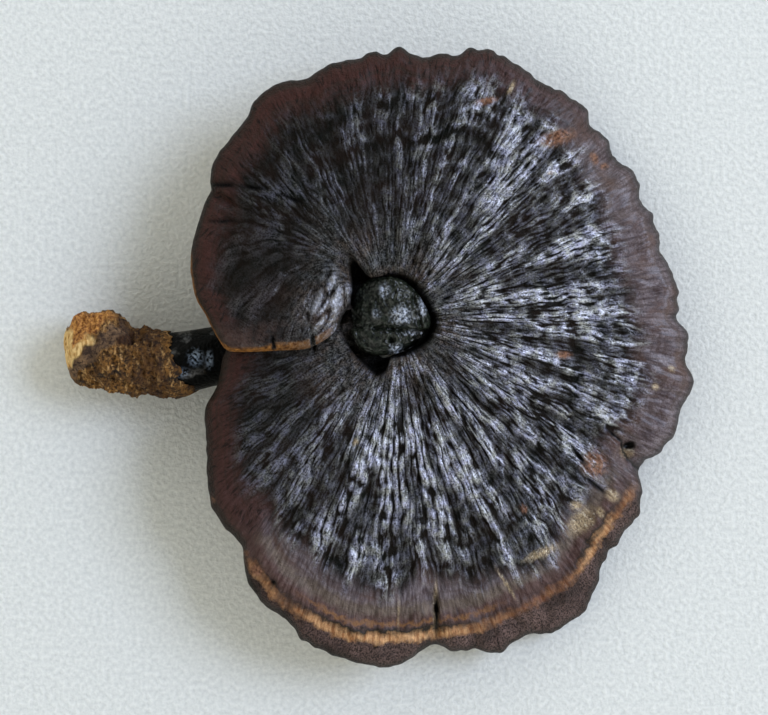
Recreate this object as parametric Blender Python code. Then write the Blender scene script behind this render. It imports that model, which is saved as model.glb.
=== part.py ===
"""A dried reishi mushroom: a kidney-shaped cap that has closed round the top of its stem, the black stem that
lies under it and turns up through its middle, and the crumbly base that the stem grew from.

Outlines are in millimetres round the hub, the middle of the knob, with X to the right, Y towards the upper lobe
and Z up. Angles are degrees from +X, turning towards +Y."""

import math

import bmesh
import bpy
import numpy as np
from mathutils import Vector, noise

MM = 0.001
CLEARANCE = 0.35  # between the stem and the cap that closes round it

# How the cap is held: its right margin lies on the table and the stem props its left side up.
TILT_SLOPE = 0.2  # rise of the underside per millimetre towards the left
TILT_TURN = -6.1  # direction of the fall, in degrees
LEVEL_AT = 50.0  # distance along the fall at which the underside levels out
LEVEL_BLEND = 12.0

# The cap's margin as (angle, distance from the hub), from the seam of the upper lobe, clockwise, to the end of
# the lower lobe that lies hidden under it.
MARGIN = [
    (189.4, 41.5), (185, 43.0), (178.5, 45.5), (174.5, 47.8), (170, 49.5), (165.8, 50.8), (158, 52.3),
    (153.8, 52.8), (148, 53.9), (145, 54.2), (143, 55.9), (138, 58.2), (132, 59.2), (126.4, 60.5),
    (122.5, 63.0), (116, 63.9), (110, 62.4), (104.7, 64.0), (97.6, 64.3), (94.2, 65.6), (92.5, 65.0),
    (88.9, 66.7), (84.8, 65.0), (80, 66.4), (77, 67.0), (74, 69.8), (70, 70.9), (63, 69.9), (58.6, 69.6),
    (54.3, 70.6), (48.6, 71.6), (44.7, 69.4), (40.8, 70.6), (37, 68.8), (31.5, 70.8), (26, 68.6),
    (20, 69.7), (15.4, 68.7), (10.2, 70.6), (3.3, 71.1), (0.5, 70.7), (-3, 73.6), (-7.3, 73.1),
    (-11.3, 76.4), (-17.8, 74.8), (-22.7, 75.3), (-26.3, 73.6), (-31.2, 71.3), (-34, 74.4), (-38, 77.5),
    (-42.4, 77.9), (-48.9, 79.4), (-52, 83.3), (-56, 86.2), (-60.4, 87.6), (-65.5, 85.9), (-68.9, 84.9),
    (-72, 86.8), (-76.8, 83.6), (-80, 82.9), (-82.7, 80.6), (-87, 83.0), (-91, 85.3), (-96.3, 84.1),
    (-102.5, 82.3), (-106, 81.0), (-108.5, 78.0), (-113.4, 76.3), (-118.5, 73.5), (-121.4, 70.0),
    (-124.6, 66.0), (-130.2, 64.7), (-134.5, 63.2), (-139, 59.8), (-144.5, 55.9), (-149.7, 53.0),
    (-154.3, 51.0), (-160.8, 45.2), (-167, 42.9), (-171, 41.4), (-175.7, 40.5),
]
# The inner edge of the cap, round the knob, in the same order.
HUB = [
    (189.6, 14.1), (176, 13.1), (161, 11.9), (146, 12.8), (135, 15.0), (128, 17.2), (124.5, 17.6),
    (122, 12.8), (118, 11.0), (108, 10.2), (92, 10.2), (79, 10.2), (62, 9.6), (47, 9.0), (32, 8.9),
    (20, 9.2), (0, 9.9), (-21, 9.7), (-42, 9.0), (-63, 8.4), (-84, 7.9), (-95, 8.2), (-101, 12.6),
    (-108, 13.8), (-123, 13.2), (-134, 12.8), (-149, 12.6), (-160, 12.8), (-172, 13.4),
]
# How far the upper lobe's seam edge swells past the straight line from hub to margin, as (share of the way, mm),
# and the distance from that edge over which the swelling dies away.
SEAM_SWELL = [(0, 0), (0.1, 1.9), (0.28, 3.4), (0.5, 2.8), (0.75, 2.0), (0.95, 1.0), (1, 0)]
SEAM_SWELL_REACH = 24.0

# Heights of the cap over its underside plane, as (angle, at the hub, at the crown, share of the way out where
# the crown stands, at the margin). The two left lobes slope down to their margin, the right side from the hub.
CROWN = [
    (-176, 12.0, 13.2, 0.20, 5.5), (-140, 12.0, 13.2, 0.22, 5.8), (-110, 12.0, 13.2, 0.45, 8.0),
    (-70, 12.0, 13.2, 0.52, 8.2), (0, 12.2, 13.0, 0.32, 7.6), (60, 12.0, 13.0, 0.34, 8.0),
    (100, 11.5, 13.2, 0.34, 7.4), (140, 11.5, 13.2, 0.22, 5.6), (190, 12.0, 13.2, 0.20, 5.5),
]
CROWN_FALL = 1.6  # power by which the top falls from the crown to the margin
WIDEST_AT = 0.42  # height of the margin's outermost line, as a share of the cap's thickness
UNDERSIDE_HOLLOW = 1.2
UNDERSIDE_LUMPS = (16.0, 3.0, 1.9, 0.6)  # degrees from one to the next, count along the way, seed, mm
HUB_WALL_RADIUS = 5.5  # inner end of the ledge that meets the neck
LEDGE = 2.0  # thickness of that ledge
HUB_LIP = 0.35  # share of its height that the top keeps right at the hub's edge
HUB_ROUNDING = 2.6
FLANK_ROUNDING = 7.5  # the upper lobe slopes further down to the knob
FLANK = (150.0, 195.0)  # from and to, in degrees
RIM_ROUNDING = 4.2
RIM_UNDER_ROUNDING = 3.15
SKIRT_ROUNDING = 8.0  # the rim is rolled further down along the bottom
SKIRT = (-118.0, -38.0)
NOSE_ROUNDING = 2.8  # the two ends of the strip at the seam
NOSE_LEAST = 0.14  # share of its thickness that the strip keeps at its very ends

# The two lobes at the seam.
LOWER_LOBE_CROWN = 0.66  # share of the full height that is left at the seam
LOWER_LOBE_REACH = 34.0
LOBE_GAP = 0.8
UPPER_LOBE_EDGE = 5.0  # thickness of the upper lobe's edge where it lies on the lower one
UPPER_LOBE_REACH = 15.0

# Where the margin droops to the table or curls up from it, as (angle, half width in degrees, mm).
MARGIN_WAVES = [(38, 16, -3.7), (-6, 26, 0.9), (-55, 17, -2.6), (95, 26, 1.2), (-105, 24, 1.4)]
# Radial folds of the top, as (degrees from one to the next, count along the way out, seed, mm), and its lumps.
FOLDS = [(4.6, 2.2, 3.1, 0.8), (9.0, 1.6, 8.4, 0.9)]
FOLDS_SHOWN = (-115.0, 85.0)
FOLDS_ELSEWHERE = 0.35  # share of their height that the folds have outside those angles
SEAM_RELIEF = 0.25  # share of its folds and lumps that the cap keeps at the seam
LUMPS = (26.0, 3.0, 5.7, 0.9)
# Rings pressed into or raised from the top, as (from, to in degrees, distance from the margin, width, mm).
RINGS = [
    (-122.0, -34.0, 12.5, 2.6, -0.9),
    (-122.0, -34.0, 8.2, 2.0, 0.5),
    (-30.0, 60.0, 15.0, 3.0, -0.7),
    (60.0, 185.0, 8.0, 2.6, -0.5),
    (-48.0, 36.0, 31.0, 3.4, -0.8),
]
# Short creases that run in from the margin, as (angle, length, half width in degrees, depth).
CREASES = [(-31.0, 9.0, 3.0, 1.2), (145.0, 9.0, 2.4, 1.6), (-82.7, 17.0, 2.2, 1.8), (37.0, 7.0, 3.0, 1.0)]
# The ledge where the bottom part of the cap has grown over the right part, from its inner end to the margin.
OVERGROWN = [
    (50.5, -26.0), (53.0, -27.6), (55.9, -30.1), (56.3, -32.4), (57.7, -34.6), (59.2, -35.9), (61.5, -38.0),
]
OVERGROWN_STEP = 2.0
OVERGROWN_FADE = 2.6  # distance over which the right part rises again

COLUMNS = 124
TOP_ROWS = [0, 0.03, 0.09, 0.18, 0.29, 0.41, 0.54, 0.67, 0.79, 0.9]  # shares of the way to the outer band
BAND = [16.0, 12.6, 10.4, 8.2, 5.6, 3.2, 1.5, 0.4, 0]  # distances from the margin
BAND_SHARE = 0.55  # the band never takes more of the way than this
UNDER_ROWS = [0.988, 0.95, 0.86, 0.64, 0.38, 0.16, 0]
END_COLUMNS = [0, 0.35, 1.2, 2.6]  # distances of the first columns from the strip's end
FIRST_INNER = 4.6
CLOSER_AT_LEDGE = (-42.0, -24.0, 1.2)  # from and to, in degrees, and how many more columns stand there

# The stem: a straight run under the cap, a bend, and the knob that shows in the middle of the cap.
STEM_TURN = 191.1  # direction from the hub to the base
STEM_START = 57.6
STEM_LOW = 9.0  # height of its middle at the base
BEND_RADIUS = 9.0
BEND_START_HEIGHT = 10.0
# The stem's radius, as (distance from hub, radius).
STEM_THICKNESS = [(9, 7.6), (18, 7.5), (30, 7.2), (44, 7.2), (50, 7.5), (58, 8.1)]
STEM_SIDES = 22
STEM_STEP = 3.6
BEND_STEPS = 6
STEM_LUMPS = [(9.0, 0.9, 0.5), (4.0, 2.0, 0.2)]  # (mm from one to the next, count round the stem, mm)
# The knob's rings as (height over the bend, radius).
KNOB = [(0, 8.0), (1.0, 9.0), (2.0, 9.2), (2.9, 8.5), (3.4, 7.2), (3.6, 5.6), (3.8, 3.8), (3.85, 1.9)]
KNOB_WIDEST_AT = 2.0
KNOB_LEAN = (-0.7, 1.5)  # how far its top stands off the hub
KNOB_LEAN_OVER = 2.0
# How far the knob reaches from its own middle, as (degrees from +X, share of its radius).
KNOB_OUTLINE = [
    (-36, 1.06), (-9, 1.02), (3, 0.95), (25, 0.87), (57, 0.90), (85, 0.95), (107, 1.00), (127, 1.12),
    (146, 1.10), (166, 1.07), (189, 1.07), (208, 1.16), (225, 1.20), (243, 1.14), (264, 1.00),
    (279, 0.96), (299, 0.96), (324, 1.06),
]
KNOB_SHAPED_FROM = 17.5  # height over the table at which the round stem starts to take on that outline
KNOB_SHAPED_OVER = 3.0
# The knob's broken top: a ridge that leans to the left at its far end, with a slope on each side, and a step.
RIDGE_FAR_END = 8.9
RIDGE_LEAN = 0.27
RIDGE_LEFT_SLOPE = 0.14
RIDGE_RIGHT = [(0, 0), (3.4, -1.7), (8, -3.2)]  # (distance right of the ridge, drop)
STEP_FROM = -1.9
STEP_DROP = 1.9

# The base ring by ring, from the stem outwards: (distance from hub, sideways, height of middle, half width,
# half height).
BASE_RINGS = [
    (57.9, 0.4, 9.0, 8.4, 8.4), (59.5, 1.3, 8.8, 8.7, 8.7), (62.0, 2.0, 8.5, 8.8, 8.9),
    (64.4, 2.1, 8.4, 8.3, 9.0), (66.2, 3.9, 8.4, 9.7, 9.6), (68.2, 5.4, 8.5, 10.3, 10.0),
    (70.7, 6.2, 8.4, 10.1, 9.9), (73.7, 6.9, 8.3, 9.1, 9.6), (76.4, 7.1, 8.2, 8.4, 9.2),
    (78.6, 7.2, 8.0, 7.6, 8.2), (80.4, 6.6, 8.0, 6.2, 6.6), (81.1, 6.2, 8.0, 4.9, 5.2),
]
BASE_SIDES = 24
BASE_LUMPS = (3.5, 1.0)  # mm from one to the next, mm
BASE_JAGS = (4.0, 0.9)  # the same, along the base
BASE_JAGS_SEED = Vector((7, 3, 1))


def smooth_curve(points, at):
    """Heights of a smooth curve through the points, at the given places. It never swings past a point."""
    x, y = np.array(sorted(points), float).T
    slope = np.diff(y) / np.diff(x)
    product = slope[1:] * slope[:-1]
    inner = np.where(product > 0, 2 * product / (slope[1:] + slope[:-1] + 1e-12), 0)
    tangent = np.concatenate([slope[:1], inner, slope[-1:]])
    at = np.clip(at, x[0], x[-1])
    i = np.clip(np.searchsorted(x, at) - 1, 0, len(x) - 2)
    step = x[i + 1] - x[i]
    u = (at - x[i]) / step
    rise = u * u * (3 - 2 * u)
    return (
        y[i] * (1 - rise)
        + y[i + 1] * rise
        + step * (tangent[i] * u * (1 - u) ** 2 - tangent[i + 1] * u * u * (1 - u))
    )


def fade(x):
    """1 at 0, falling smoothly to 0 at 1."""
    x = np.clip(x, 0, 1)
    return 1 - x * x * (3 - 2 * x)


def rounding(distance, radius):
    """Share of the full height at a distance in from a rounded edge."""
    return np.sqrt(np.clip(1 - np.clip(1 - distance / radius, 0, 1) ** 2, 0, 1))


def between(angle, start, end, soft=8.0):
    """1 from start to end, falling to 0 over soft degrees on each side."""
    return fade((start - angle) / soft) * fade((angle - end) / soft)


def polar(angle, radius):
    return np.stack([radius * np.cos(np.radians(angle)), radius * np.sin(np.radians(angle))], -1)


def hub_edge(angle):
    """Direction and distance from the hub of the cap's inner edge, for columns with those margin angles."""
    inner = np.interp(angle, [MARGIN[-1][0], MARGIN[0][0]], [HUB[-1][0], HUB[0][0]])
    return inner, smooth_curve(HUB, inner)


def underside_plane(place):
    turn = math.radians(TILT_TURN)
    left = LEVEL_AT - (place[..., 0] * math.cos(turn) + place[..., 1] * math.sin(turn))
    return TILT_SLOPE / 2 * (np.sqrt(left**2 + LEVEL_BLEND**2) + left)


def noise_field(x, y, seed):
    flat = [noise.noise(Vector((a, b, seed))) for a, b in zip(np.ravel(x), np.ravel(y))]
    return np.reshape(flat, np.shape(x))


def column_angles():
    """Margin angles at even steps along the margin, closer together at the strip's ends and at the ledge."""
    fine = np.linspace(MARGIN[0][0], MARGIN[-1][0], 4000)
    line = polar(fine, smooth_curve(MARGIN, fine))
    start, end, more = CLOSER_AT_LEDGE
    weight = 1 + more * between(fine[1:], start, end)
    length = np.concatenate([[0], np.cumsum(np.linalg.norm(np.diff(line, axis=0), axis=1) * weight)])
    ends = np.array(END_COLUMNS)
    inner = np.linspace(FIRST_INNER, length[-1] - FIRST_INNER, COLUMNS - 2 * len(ends))
    return np.interp(np.concatenate([ends, inner, length[-1] - ends[::-1]]), length, fine)


def along_columns(place):
    """Distance from the first column, along each row."""
    steps = np.linalg.norm(np.diff(place, axis=0), axis=2)
    return np.concatenate([np.zeros((1, place.shape[1])), np.cumsum(steps, axis=0)])


def seam_swell(from_end, share):
    reach = (1 - np.clip(from_end / SEAM_SWELL_REACH, 0, 1)) ** 2
    return np.stack([0 * share, -smooth_curve(SEAM_SWELL, share) * reach], -1)


def cap_crown(angle, share):
    """Height of the top over the underside plane, before any edge is rounded."""
    turns, *heights = zip(*CROWN)
    at_hub, at_top, top_at, at_margin = (np.interp(angle, turns, column) for column in heights)
    inner = at_hub + (at_top - at_hub) * np.sin(np.pi / 2 * np.clip(share / top_at, 0, 1))
    outer = np.clip((share - top_at) / (1 - top_at), 0, 1)
    return inner - (at_top - at_margin) * outer**CROWN_FALL


def noise_waves(angle, share, wave):
    turn, count, seed, height = wave
    return height * noise_field(angle / turn, share * count, seed)


def cap_relief(angle, share, from_margin):
    """Radial folds, lumps, rings and creases of the top."""
    folds = sum(noise_waves(angle, share, wave) for wave in FOLDS)
    folds = folds * (FOLDS_ELSEWHERE + (1 - FOLDS_ELSEWHERE) * between(angle, *FOLDS_SHOWN, soft=25))
    relief = folds * fade((7 - from_margin) / 6) * fade(1 - share / 0.1)
    relief += noise_waves(angle, share, LUMPS) * fade(1 - from_margin / 3)
    for start, end, distance, width, height in RINGS:
        relief += height * between(angle, start, end) * np.exp(-(((from_margin - distance) / width) ** 2))
    for middle, length, half_width, depth in CREASES:
        cut = fade(np.abs(angle - middle) / half_width) * fade((from_margin - length * 0.6) / (length * 0.4))
        relief -= depth * cut
    return relief


def overgrown_drop(place):
    """How far the right part of the cap lies under the edge of the bottom part, which has grown over it."""
    nearest = np.full(place.shape[:2], np.inf)
    right_part = np.zeros(place.shape[:2], bool)
    for start, end in zip(np.array(OVERGROWN), np.array(OVERGROWN)[1:]):
        along = end - start
        share = np.clip(((place - start) @ along) / (along @ along), 0, 1)
        offset = place - start - share[..., None] * along
        gap = np.linalg.norm(offset, axis=2)
        closer = gap < nearest
        nearest[closer] = gap[closer]
        right_part[closer] = (along[0] * offset[..., 1] > along[1] * offset[..., 0])[closer]
    return OVERGROWN_STEP * right_part * np.exp(-nearest / OVERGROWN_FADE)


def cap_sheets(angle, share):
    """Places, and heights of the top and of the underside, for columns of shares from hub to margin."""
    edge = polar(angle, smooth_curve(MARGIN, angle))[:, None]
    hub = polar(*hub_edge(angle))[:, None]
    place = hub + (edge - hub) * share[..., None]
    place = place + seam_swell(along_columns(place), share)
    reach = np.linalg.norm(edge - hub, axis=2)
    from_margin = (1 - share) * reach
    from_hub = share * reach
    from_upper = along_columns(place)
    from_lower = from_upper[-1:] - from_upper
    angle = angle[:, None] + 0 * share

    lower = fade(from_lower / LOWER_LOBE_REACH)
    shrink = 1 - (1 - LOWER_LOBE_CROWN) * lower
    lower_top = cap_crown(angle, share) * LOWER_LOBE_CROWN
    crown = cap_crown(angle, share) * shrink
    hollow = UNDERSIDE_HOLLOW * np.sin(np.pi * np.clip(share, 0, 1)) ** 0.7
    under = hollow + noise_waves(angle, share, UNDERSIDE_LUMPS) * np.sin(np.pi * share)
    upper = fade((from_upper - 4.0) / UPPER_LOBE_REACH)
    raised = lower_top + LOBE_GAP
    under = under + (raised - under) * upper
    crown = crown + np.maximum(raised + UPPER_LOBE_EDGE - crown, 0) * upper
    kept = (1 - (1 - SEAM_RELIEF) * lower) * (1 - (1 - SEAM_RELIEF) * upper)
    crown = crown + cap_relief(angle, share, from_margin) * kept - overgrown_drop(place)

    rim = RIM_ROUNDING + (SKIRT_ROUNDING - RIM_ROUNDING) * between(angle, *SKIRT, soft=14)
    brow = HUB_ROUNDING + (FLANK_ROUNDING - HUB_ROUNDING) * between(angle, *FLANK, soft=20)
    nose = np.maximum(rounding(from_upper, NOSE_ROUNDING) * rounding(from_lower, NOSE_ROUNDING), NOSE_LEAST)
    middle = under + WIDEST_AT * (crown - under)
    at_hub = HUB_LIP + (1 - HUB_LIP) * rounding(from_hub, brow)
    top = middle + (crown - middle) * rounding(from_margin, rim) * nose * at_hub
    bottom = middle - (middle - under) * rounding(from_margin, RIM_UNDER_ROUNDING) * nose

    wave = 0 * angle
    for middle_angle, half_width, height in MARGIN_WAVES:
        wave += height * fade(np.abs(angle - middle_angle) / half_width)
    plane = underside_plane(place) + wave * share**3
    return place, np.maximum(plane + top, 0), np.maximum(plane + bottom, 0)


def cap_rows(angle):
    """Shares from hub to margin of each column's rows on the top, and on the underside."""
    band = np.minimum(BAND[0] / (smooth_curve(MARGIN, angle) - hub_edge(angle)[1]), BAND_SHARE)[:, None]
    inner = np.array(TOP_ROWS) * (1 - band)
    outer = 1 - np.array(BAND) / BAND[0] * band
    return np.hstack([inner, outer]), np.tile(UNDER_ROWS, (len(angle), 1))


def material(name, color, roughness, coat=0.0):
    made = bpy.data.materials.new(name)
    made.use_nodes = True
    shader = made.node_tree.nodes["Principled BSDF"]
    shader.inputs["Base Color"].default_value = (*color, 1)
    shader.inputs["Roughness"].default_value = roughness
    shader.inputs["Metallic"].default_value = 0
    shader.inputs["Coat Weight"].default_value = coat
    made.diffuse_color = (*color, 1)
    return made


def finished_object(name, bm, surface, parent):
    """Makes an object of the mesh, smooth but for its sharp edges."""
    bmesh.ops.recalc_face_normals(bm, faces=bm.faces)
    mesh = bpy.data.meshes.new(name)
    bm.to_mesh(mesh)
    bm.free()
    mesh.shade_smooth()
    mesh.set_sharp_from_angle(angle=math.radians(50))
    mesh.materials.append(surface)
    made = bpy.data.objects.new(name, mesh)
    bpy.context.scene.collection.objects.link(made)
    made.parent = parent
    return made


def swept(rings):
    """A closed body through rings of points: each ring is extruded to the next, and both ends are filled."""
    bm = bmesh.new()
    loop = [bm.verts.new(Vector(point) * MM) for point in rings[0]]
    edges = [bm.edges.new(pair) for pair in zip(loop, loop[1:] + loop[:1])]
    first = list(edges)
    for ring in rings[1:]:
        grown = bmesh.ops.extrude_edge_only(bm, edges=edges)["geom"]
        edges = [item for item in grown if isinstance(item, bmesh.types.BMEdge)]
        fresh = {vert for edge in edges for vert in edge.verts}
        linked = [[edge.other_vert(vert) for edge in vert.link_edges] for vert in loop]
        loop = [next(vert for vert in others if vert in fresh) for others in linked]
        for vert, point in zip(loop, ring):
            vert.co = Vector(point) * MM
    for end in (first, edges):
        bmesh.ops.triangle_fill(bm, edges=end, use_beauty=True)
    return bm


def cap_rings():
    angle = column_angles()
    top_share, under_share = cap_rows(angle)
    top_place, top, _ = cap_sheets(angle, top_share)
    under_place, _, under = cap_sheets(angle, under_share)
    # The wall at the hub: short at the upper lobe's end, and elsewhere a ledge deep under the knob that reaches
    # in to the stem, whose shape is then cut from it.
    inward = fade((angle - 150) / 20)
    hub_angle, radius = hub_edge(angle)
    wall = polar(hub_angle, (radius - 0.3) * (1 - inward) + HUB_WALL_RADIUS * inward)
    brink = polar(hub_angle, radius - 0.5)
    under[:, -1] += (underside_plane(under_place[:, -1]) - under[:, -1]) * inward
    thickness = top[:, 0] - under[:, -1]
    rings = []
    for i in range(len(angle)):
        corners = []
        for place, share, depth in ((wall, 0.1, 0), (wall, 0.35, LEDGE * 0.8), (brink, 0.6, LEDGE)):
            short = under[i, -1] + share * thickness[i]
            deep = max(underside_plane(place[i]) + depth, 0)
            corners.append((*place[i], short + (deep - short) * inward[i]))
        upper = np.column_stack([top_place[i], top[i]])
        lower = np.column_stack([under_place[i], under[i]])
        rings.append(np.vstack([upper, lower, corners]))
    return rings


def knob_shaped(point, middle):
    """The point of the stem's round skin, moved to the knob's uneven outline."""
    shaped = 1 - fade((point.z - KNOB_SHAPED_FROM) / KNOB_SHAPED_OVER)
    spread = (point - middle) * Vector((1, 1, 0))
    first = KNOB_OUTLINE[0][0]
    angle = (math.degrees(math.atan2(spread.y, spread.x)) - first) % 360 + first
    return point + spread * shaped * (smooth_curve(KNOB_OUTLINE, angle) - 1)


def knob_broken(point):
    """The point of the knob, lowered to its broken top: all of it at the top, and less further down."""
    share = np.clip((point.z - BEND_START_HEIGHT - BEND_RADIUS) / KNOB[-1][0], 0, 1)
    past_ridge = point.x - (RIDGE_FAR_END - point.y) * RIDGE_LEAN
    drop = np.interp(past_ridge, *zip(*RIDGE_RIGHT)) if past_ridge > 0 else RIDGE_LEFT_SLOPE * past_ridge
    return point + Vector((0, 0, share * (drop if point.y > STEP_FROM else -STEP_DROP)))


def stem_rings(room=0.0):
    """Rings along the stem, from the base, round the bend and up to the knob. With room round it, they are that
    much wider, and the knob is whole and goes straight down from its widest ring."""
    turn = math.radians(STEM_TURN)
    out = Vector((math.cos(turn), math.sin(turn), 0))
    side = Vector((-math.sin(turn), math.cos(turn), 0))
    up = Vector((0, 0, 1))
    stations = []
    run = np.linspace(STEM_START, BEND_RADIUS, 1 + round((STEM_START - BEND_RADIUS) / STEM_STEP))
    for distance in run:
        height = np.interp(distance, [BEND_RADIUS, STEM_START], [BEND_START_HEIGHT, STEM_LOW])
        stations.append((out * distance + up * height, up, smooth_curve(STEM_THICKNESS, distance)))
    centre = out * BEND_RADIUS + up * (BEND_START_HEIGHT + BEND_RADIUS)
    for step in range(1, BEND_STEPS):
        bend = math.radians(90 * step / BEND_STEPS)
        radial = -up * math.cos(bend) - out * math.sin(bend)
        width = STEM_THICKNESS[0][1] + (KNOB[0][1] - STEM_THICKNESS[0][1]) * step / BEND_STEPS
        stations.append((centre + radial * BEND_RADIUS, -radial, width))
    widest = max(width for _, width in KNOB)
    for height, width in KNOB:
        if room and height < KNOB_WIDEST_AT:
            width = widest
        lean = Vector((*KNOB_LEAN, 0)) * (1 - fade(height / KNOB_LEAN_OVER))
        stations.append((up * (BEND_START_HEIGHT + BEND_RADIUS + height) + lean, out, width))
    rings = []
    for middle, across, width in stations:
        ring = []
        for k in range(STEM_SIDES):
            around = 2 * math.pi * k / STEM_SIDES
            spoke = across * math.cos(around) + side * math.sin(around)
            lump = 0
            for apart, count, high in STEM_LUMPS:
                lump += high * noise.noise(middle / apart + spoke * count)
            point = knob_shaped(middle + spoke * (width + lump + room), middle)
            ring.append(point if room else knob_broken(point))
        rings.append(ring)
    return rings


def base_rings():
    """Rings along the base. The first, at the stem's end, is smooth; the rest are lumpy and lie on the table."""
    turn = math.radians(STEM_TURN)
    out = Vector((math.cos(turn), math.sin(turn), 0))
    side = Vector((math.sin(turn), -math.cos(turn), 0))
    rings = []
    for number, (distance, sideways, height, half_width, half_height) in enumerate(BASE_RINGS):
        ring = []
        for k in range(BASE_SIDES):
            around = 2 * math.pi * k / BASE_SIDES
            spoke = side * math.cos(around) * half_width + Vector((0, 0, math.sin(around) * half_height))
            point = out * distance + side * sideways + Vector((0, 0, height)) + spoke
            if number > 0:
                apart, high = BASE_LUMPS
                point += spoke.normalized() * high * noise.noise(point / apart)
                apart, high = BASE_JAGS
                point += out * high * noise.noise(point / apart + BASE_JAGS_SEED)
            point.z = max(point.z, 0)
            ring.append(point)
        rings.append(ring)
    return rings


for old in list(bpy.data.objects):
    bpy.data.objects.remove(old)

mushroom = bpy.data.objects.new("mushroom", None)
bpy.context.scene.collection.objects.link(mushroom)
skin = material("cap_skin", (0.028, 0.024, 0.024), 0.42)
lacquer = material("stem_lacquer", (0.008, 0.008, 0.007), 0.2, 0.5)
earth = material("base_earth", (0.13, 0.065, 0.02), 0.85)

cap = finished_object("cap", swept(cap_rings()), skin, mushroom)
stem = finished_object("stem", swept(stem_rings()), lacquer, mushroom)
base = finished_object("base", swept(base_rings()), earth, mushroom)

cutter = finished_object("stem_room", swept(stem_rings(room=CLEARANCE)), lacquer, mushroom)
cutter.hide_render = True
cutter.display_type = "WIRE"
room = cap.modifiers.new("room for the stem", "BOOLEAN")
room.operation = "DIFFERENCE"
room.object = cutter

# The frame's origin is under the middle of the mushroom's box, on the table.
corners = np.array([vert.co for piece in (cap, stem, base) for vert in piece.data.vertices])
mushroom.location = (*(-(corners.min(axis=0) + corners.max(axis=0)) / 2)[:2], -corners[:, 2].min())
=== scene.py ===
import math

import bpy
import numpy as np
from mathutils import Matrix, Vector, noise


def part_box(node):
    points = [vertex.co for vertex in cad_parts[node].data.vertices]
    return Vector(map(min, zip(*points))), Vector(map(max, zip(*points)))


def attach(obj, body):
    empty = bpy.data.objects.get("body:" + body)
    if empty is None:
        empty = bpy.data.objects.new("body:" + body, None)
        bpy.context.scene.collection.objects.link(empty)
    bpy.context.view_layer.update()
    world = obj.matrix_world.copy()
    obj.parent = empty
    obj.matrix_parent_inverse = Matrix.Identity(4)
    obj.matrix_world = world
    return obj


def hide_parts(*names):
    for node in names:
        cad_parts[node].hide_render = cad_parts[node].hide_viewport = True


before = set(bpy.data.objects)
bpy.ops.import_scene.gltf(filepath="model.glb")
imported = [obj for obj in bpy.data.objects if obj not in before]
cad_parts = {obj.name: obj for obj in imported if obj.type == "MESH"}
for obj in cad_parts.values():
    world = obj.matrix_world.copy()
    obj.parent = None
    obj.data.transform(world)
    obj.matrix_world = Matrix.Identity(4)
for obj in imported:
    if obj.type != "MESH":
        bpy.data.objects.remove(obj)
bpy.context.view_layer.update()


# The stem. Hard, woody stalk, closed in a black resin skin that the fungus lays down as it grows. It lies
# under the cap from the base to the hub, turns up there, and its top shows as a cracked knob in the cap.
MM = 0.001
# Places are millimetres from the hub, the middle of the knob, and angles are degrees from +X towards +Y.
CAP_REACH = (74.94, 67.14)  # from the hub to the cap's right and top edges
HUB = np.array([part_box("cap")[1].x / MM - CAP_REACH[0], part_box("cap")[1].y / MM - CAP_REACH[1], 0])
STEM_TURN = math.radians(191.1)  # direction from the hub to the base
STEM_START = 57.6
STEM_LOW = 9.0  # height of its middle at the base
BEND_RADIUS = 9.0
BEND_START_HEIGHT = 10.0
# The stem's thickness where it lies, as (distance from the hub, radius), and the knob's, as (height, radius).
STEM_THICKNESS = [(9, 7.6), (18, 7.5), (30, 7.2), (44, 7.2), (50, 7.5), (58, 8.1)]
KNOB = [(0, 8.0), (1.0, 9.0), (2.0, 9.2), (2.9, 8.5), (3.5, 6.6), (3.8, 3.6), (3.9, 0.0)]
KNOB_LEAN = (-0.7, 1.5)
KNOB_FOOT = 17.5  # height from which the stalk is broken and bare
KNOB_SHEEN = 0.42  # shine of the knob outside its painted highlights
# How far the knob reaches from its own middle, as (degrees from +X, share of its radius). The first rows
# and the last ones meet: they give the same shape from both sides of the turn.
KNOB_OUTLINE = [
    (-36, 1.06), (-9, 1.02), (3, 0.95), (25, 0.87), (57, 0.90), (85, 0.95), (107, 1.00), (127, 1.12),
    (146, 1.10), (166, 1.07), (189, 1.07), (208, 1.16), (225, 1.20), (243, 1.14), (264, 1.00), (279, 0.96),
    (299, 0.96), (324, 1.06), (351, 1.02),
]
KNOB_TURN_ENDS = 345
# Painted highlights on the stem as it leaves the cap, pale patches that stand in for reflections, as (x, y,
# half length, half width, strength).
STEM_HIGHLIGHTS = [(-48.6, -8.9, 2.6, 3.0, 1.0), (-45.2, -9.6, 1.2, 3.2, 1.2), (-51.8, -12.8, 2.6, 1.8, 0.5)]
# Painted highlights on the knob, pale places where its coat also shines more, written in the same way.
KNOB_HIGHLIGHTS = [
    (1.4, 1.1, 3.4, 3.2, 1.0), (6.7, 3.4, 1.6, 3.2, 1.1), (-2.5, 7.1, 2.0, 2.6, 0.7),
    (0.4, -7.4, 2.4, 2.4, 0.8), (-4.5, 1.5, 1.6, 1.8, 0.5), (4.4, -3.0, 2.2, 1.0, 0.7),
]
STEM_SIDES = 144
LYING_STEPS = 100
BEND_STEPS = 40
STEM_STEPS = 190


def smooth_curve(points, at):
    """Heights of a smooth curve through the points. It doesn't swing past a low or a high point."""
    x, y = np.array(sorted(points), float).T
    slope = np.diff(y) / np.diff(x)
    both = slope[1:] * slope[:-1]
    tangent = np.where(both > 0, 2 * both / (slope[1:] + slope[:-1] + 1e-12), 0)
    tangent = np.concatenate([slope[:1], tangent, slope[-1:]])
    at = np.clip(at, x[0], x[-1])
    i = np.clip(np.searchsorted(x, at) - 1, 0, len(x) - 2)
    step = x[i + 1] - x[i]
    u = (at - x[i]) / step
    rise = u * u * (3 - 2 * u)
    return (
        y[i] * (1 - rise)
        + y[i + 1] * rise
        + step * (tangent[i] * u * (1 - u) ** 2 - tangent[i + 1] * u * u * (1 - u))
    )


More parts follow.
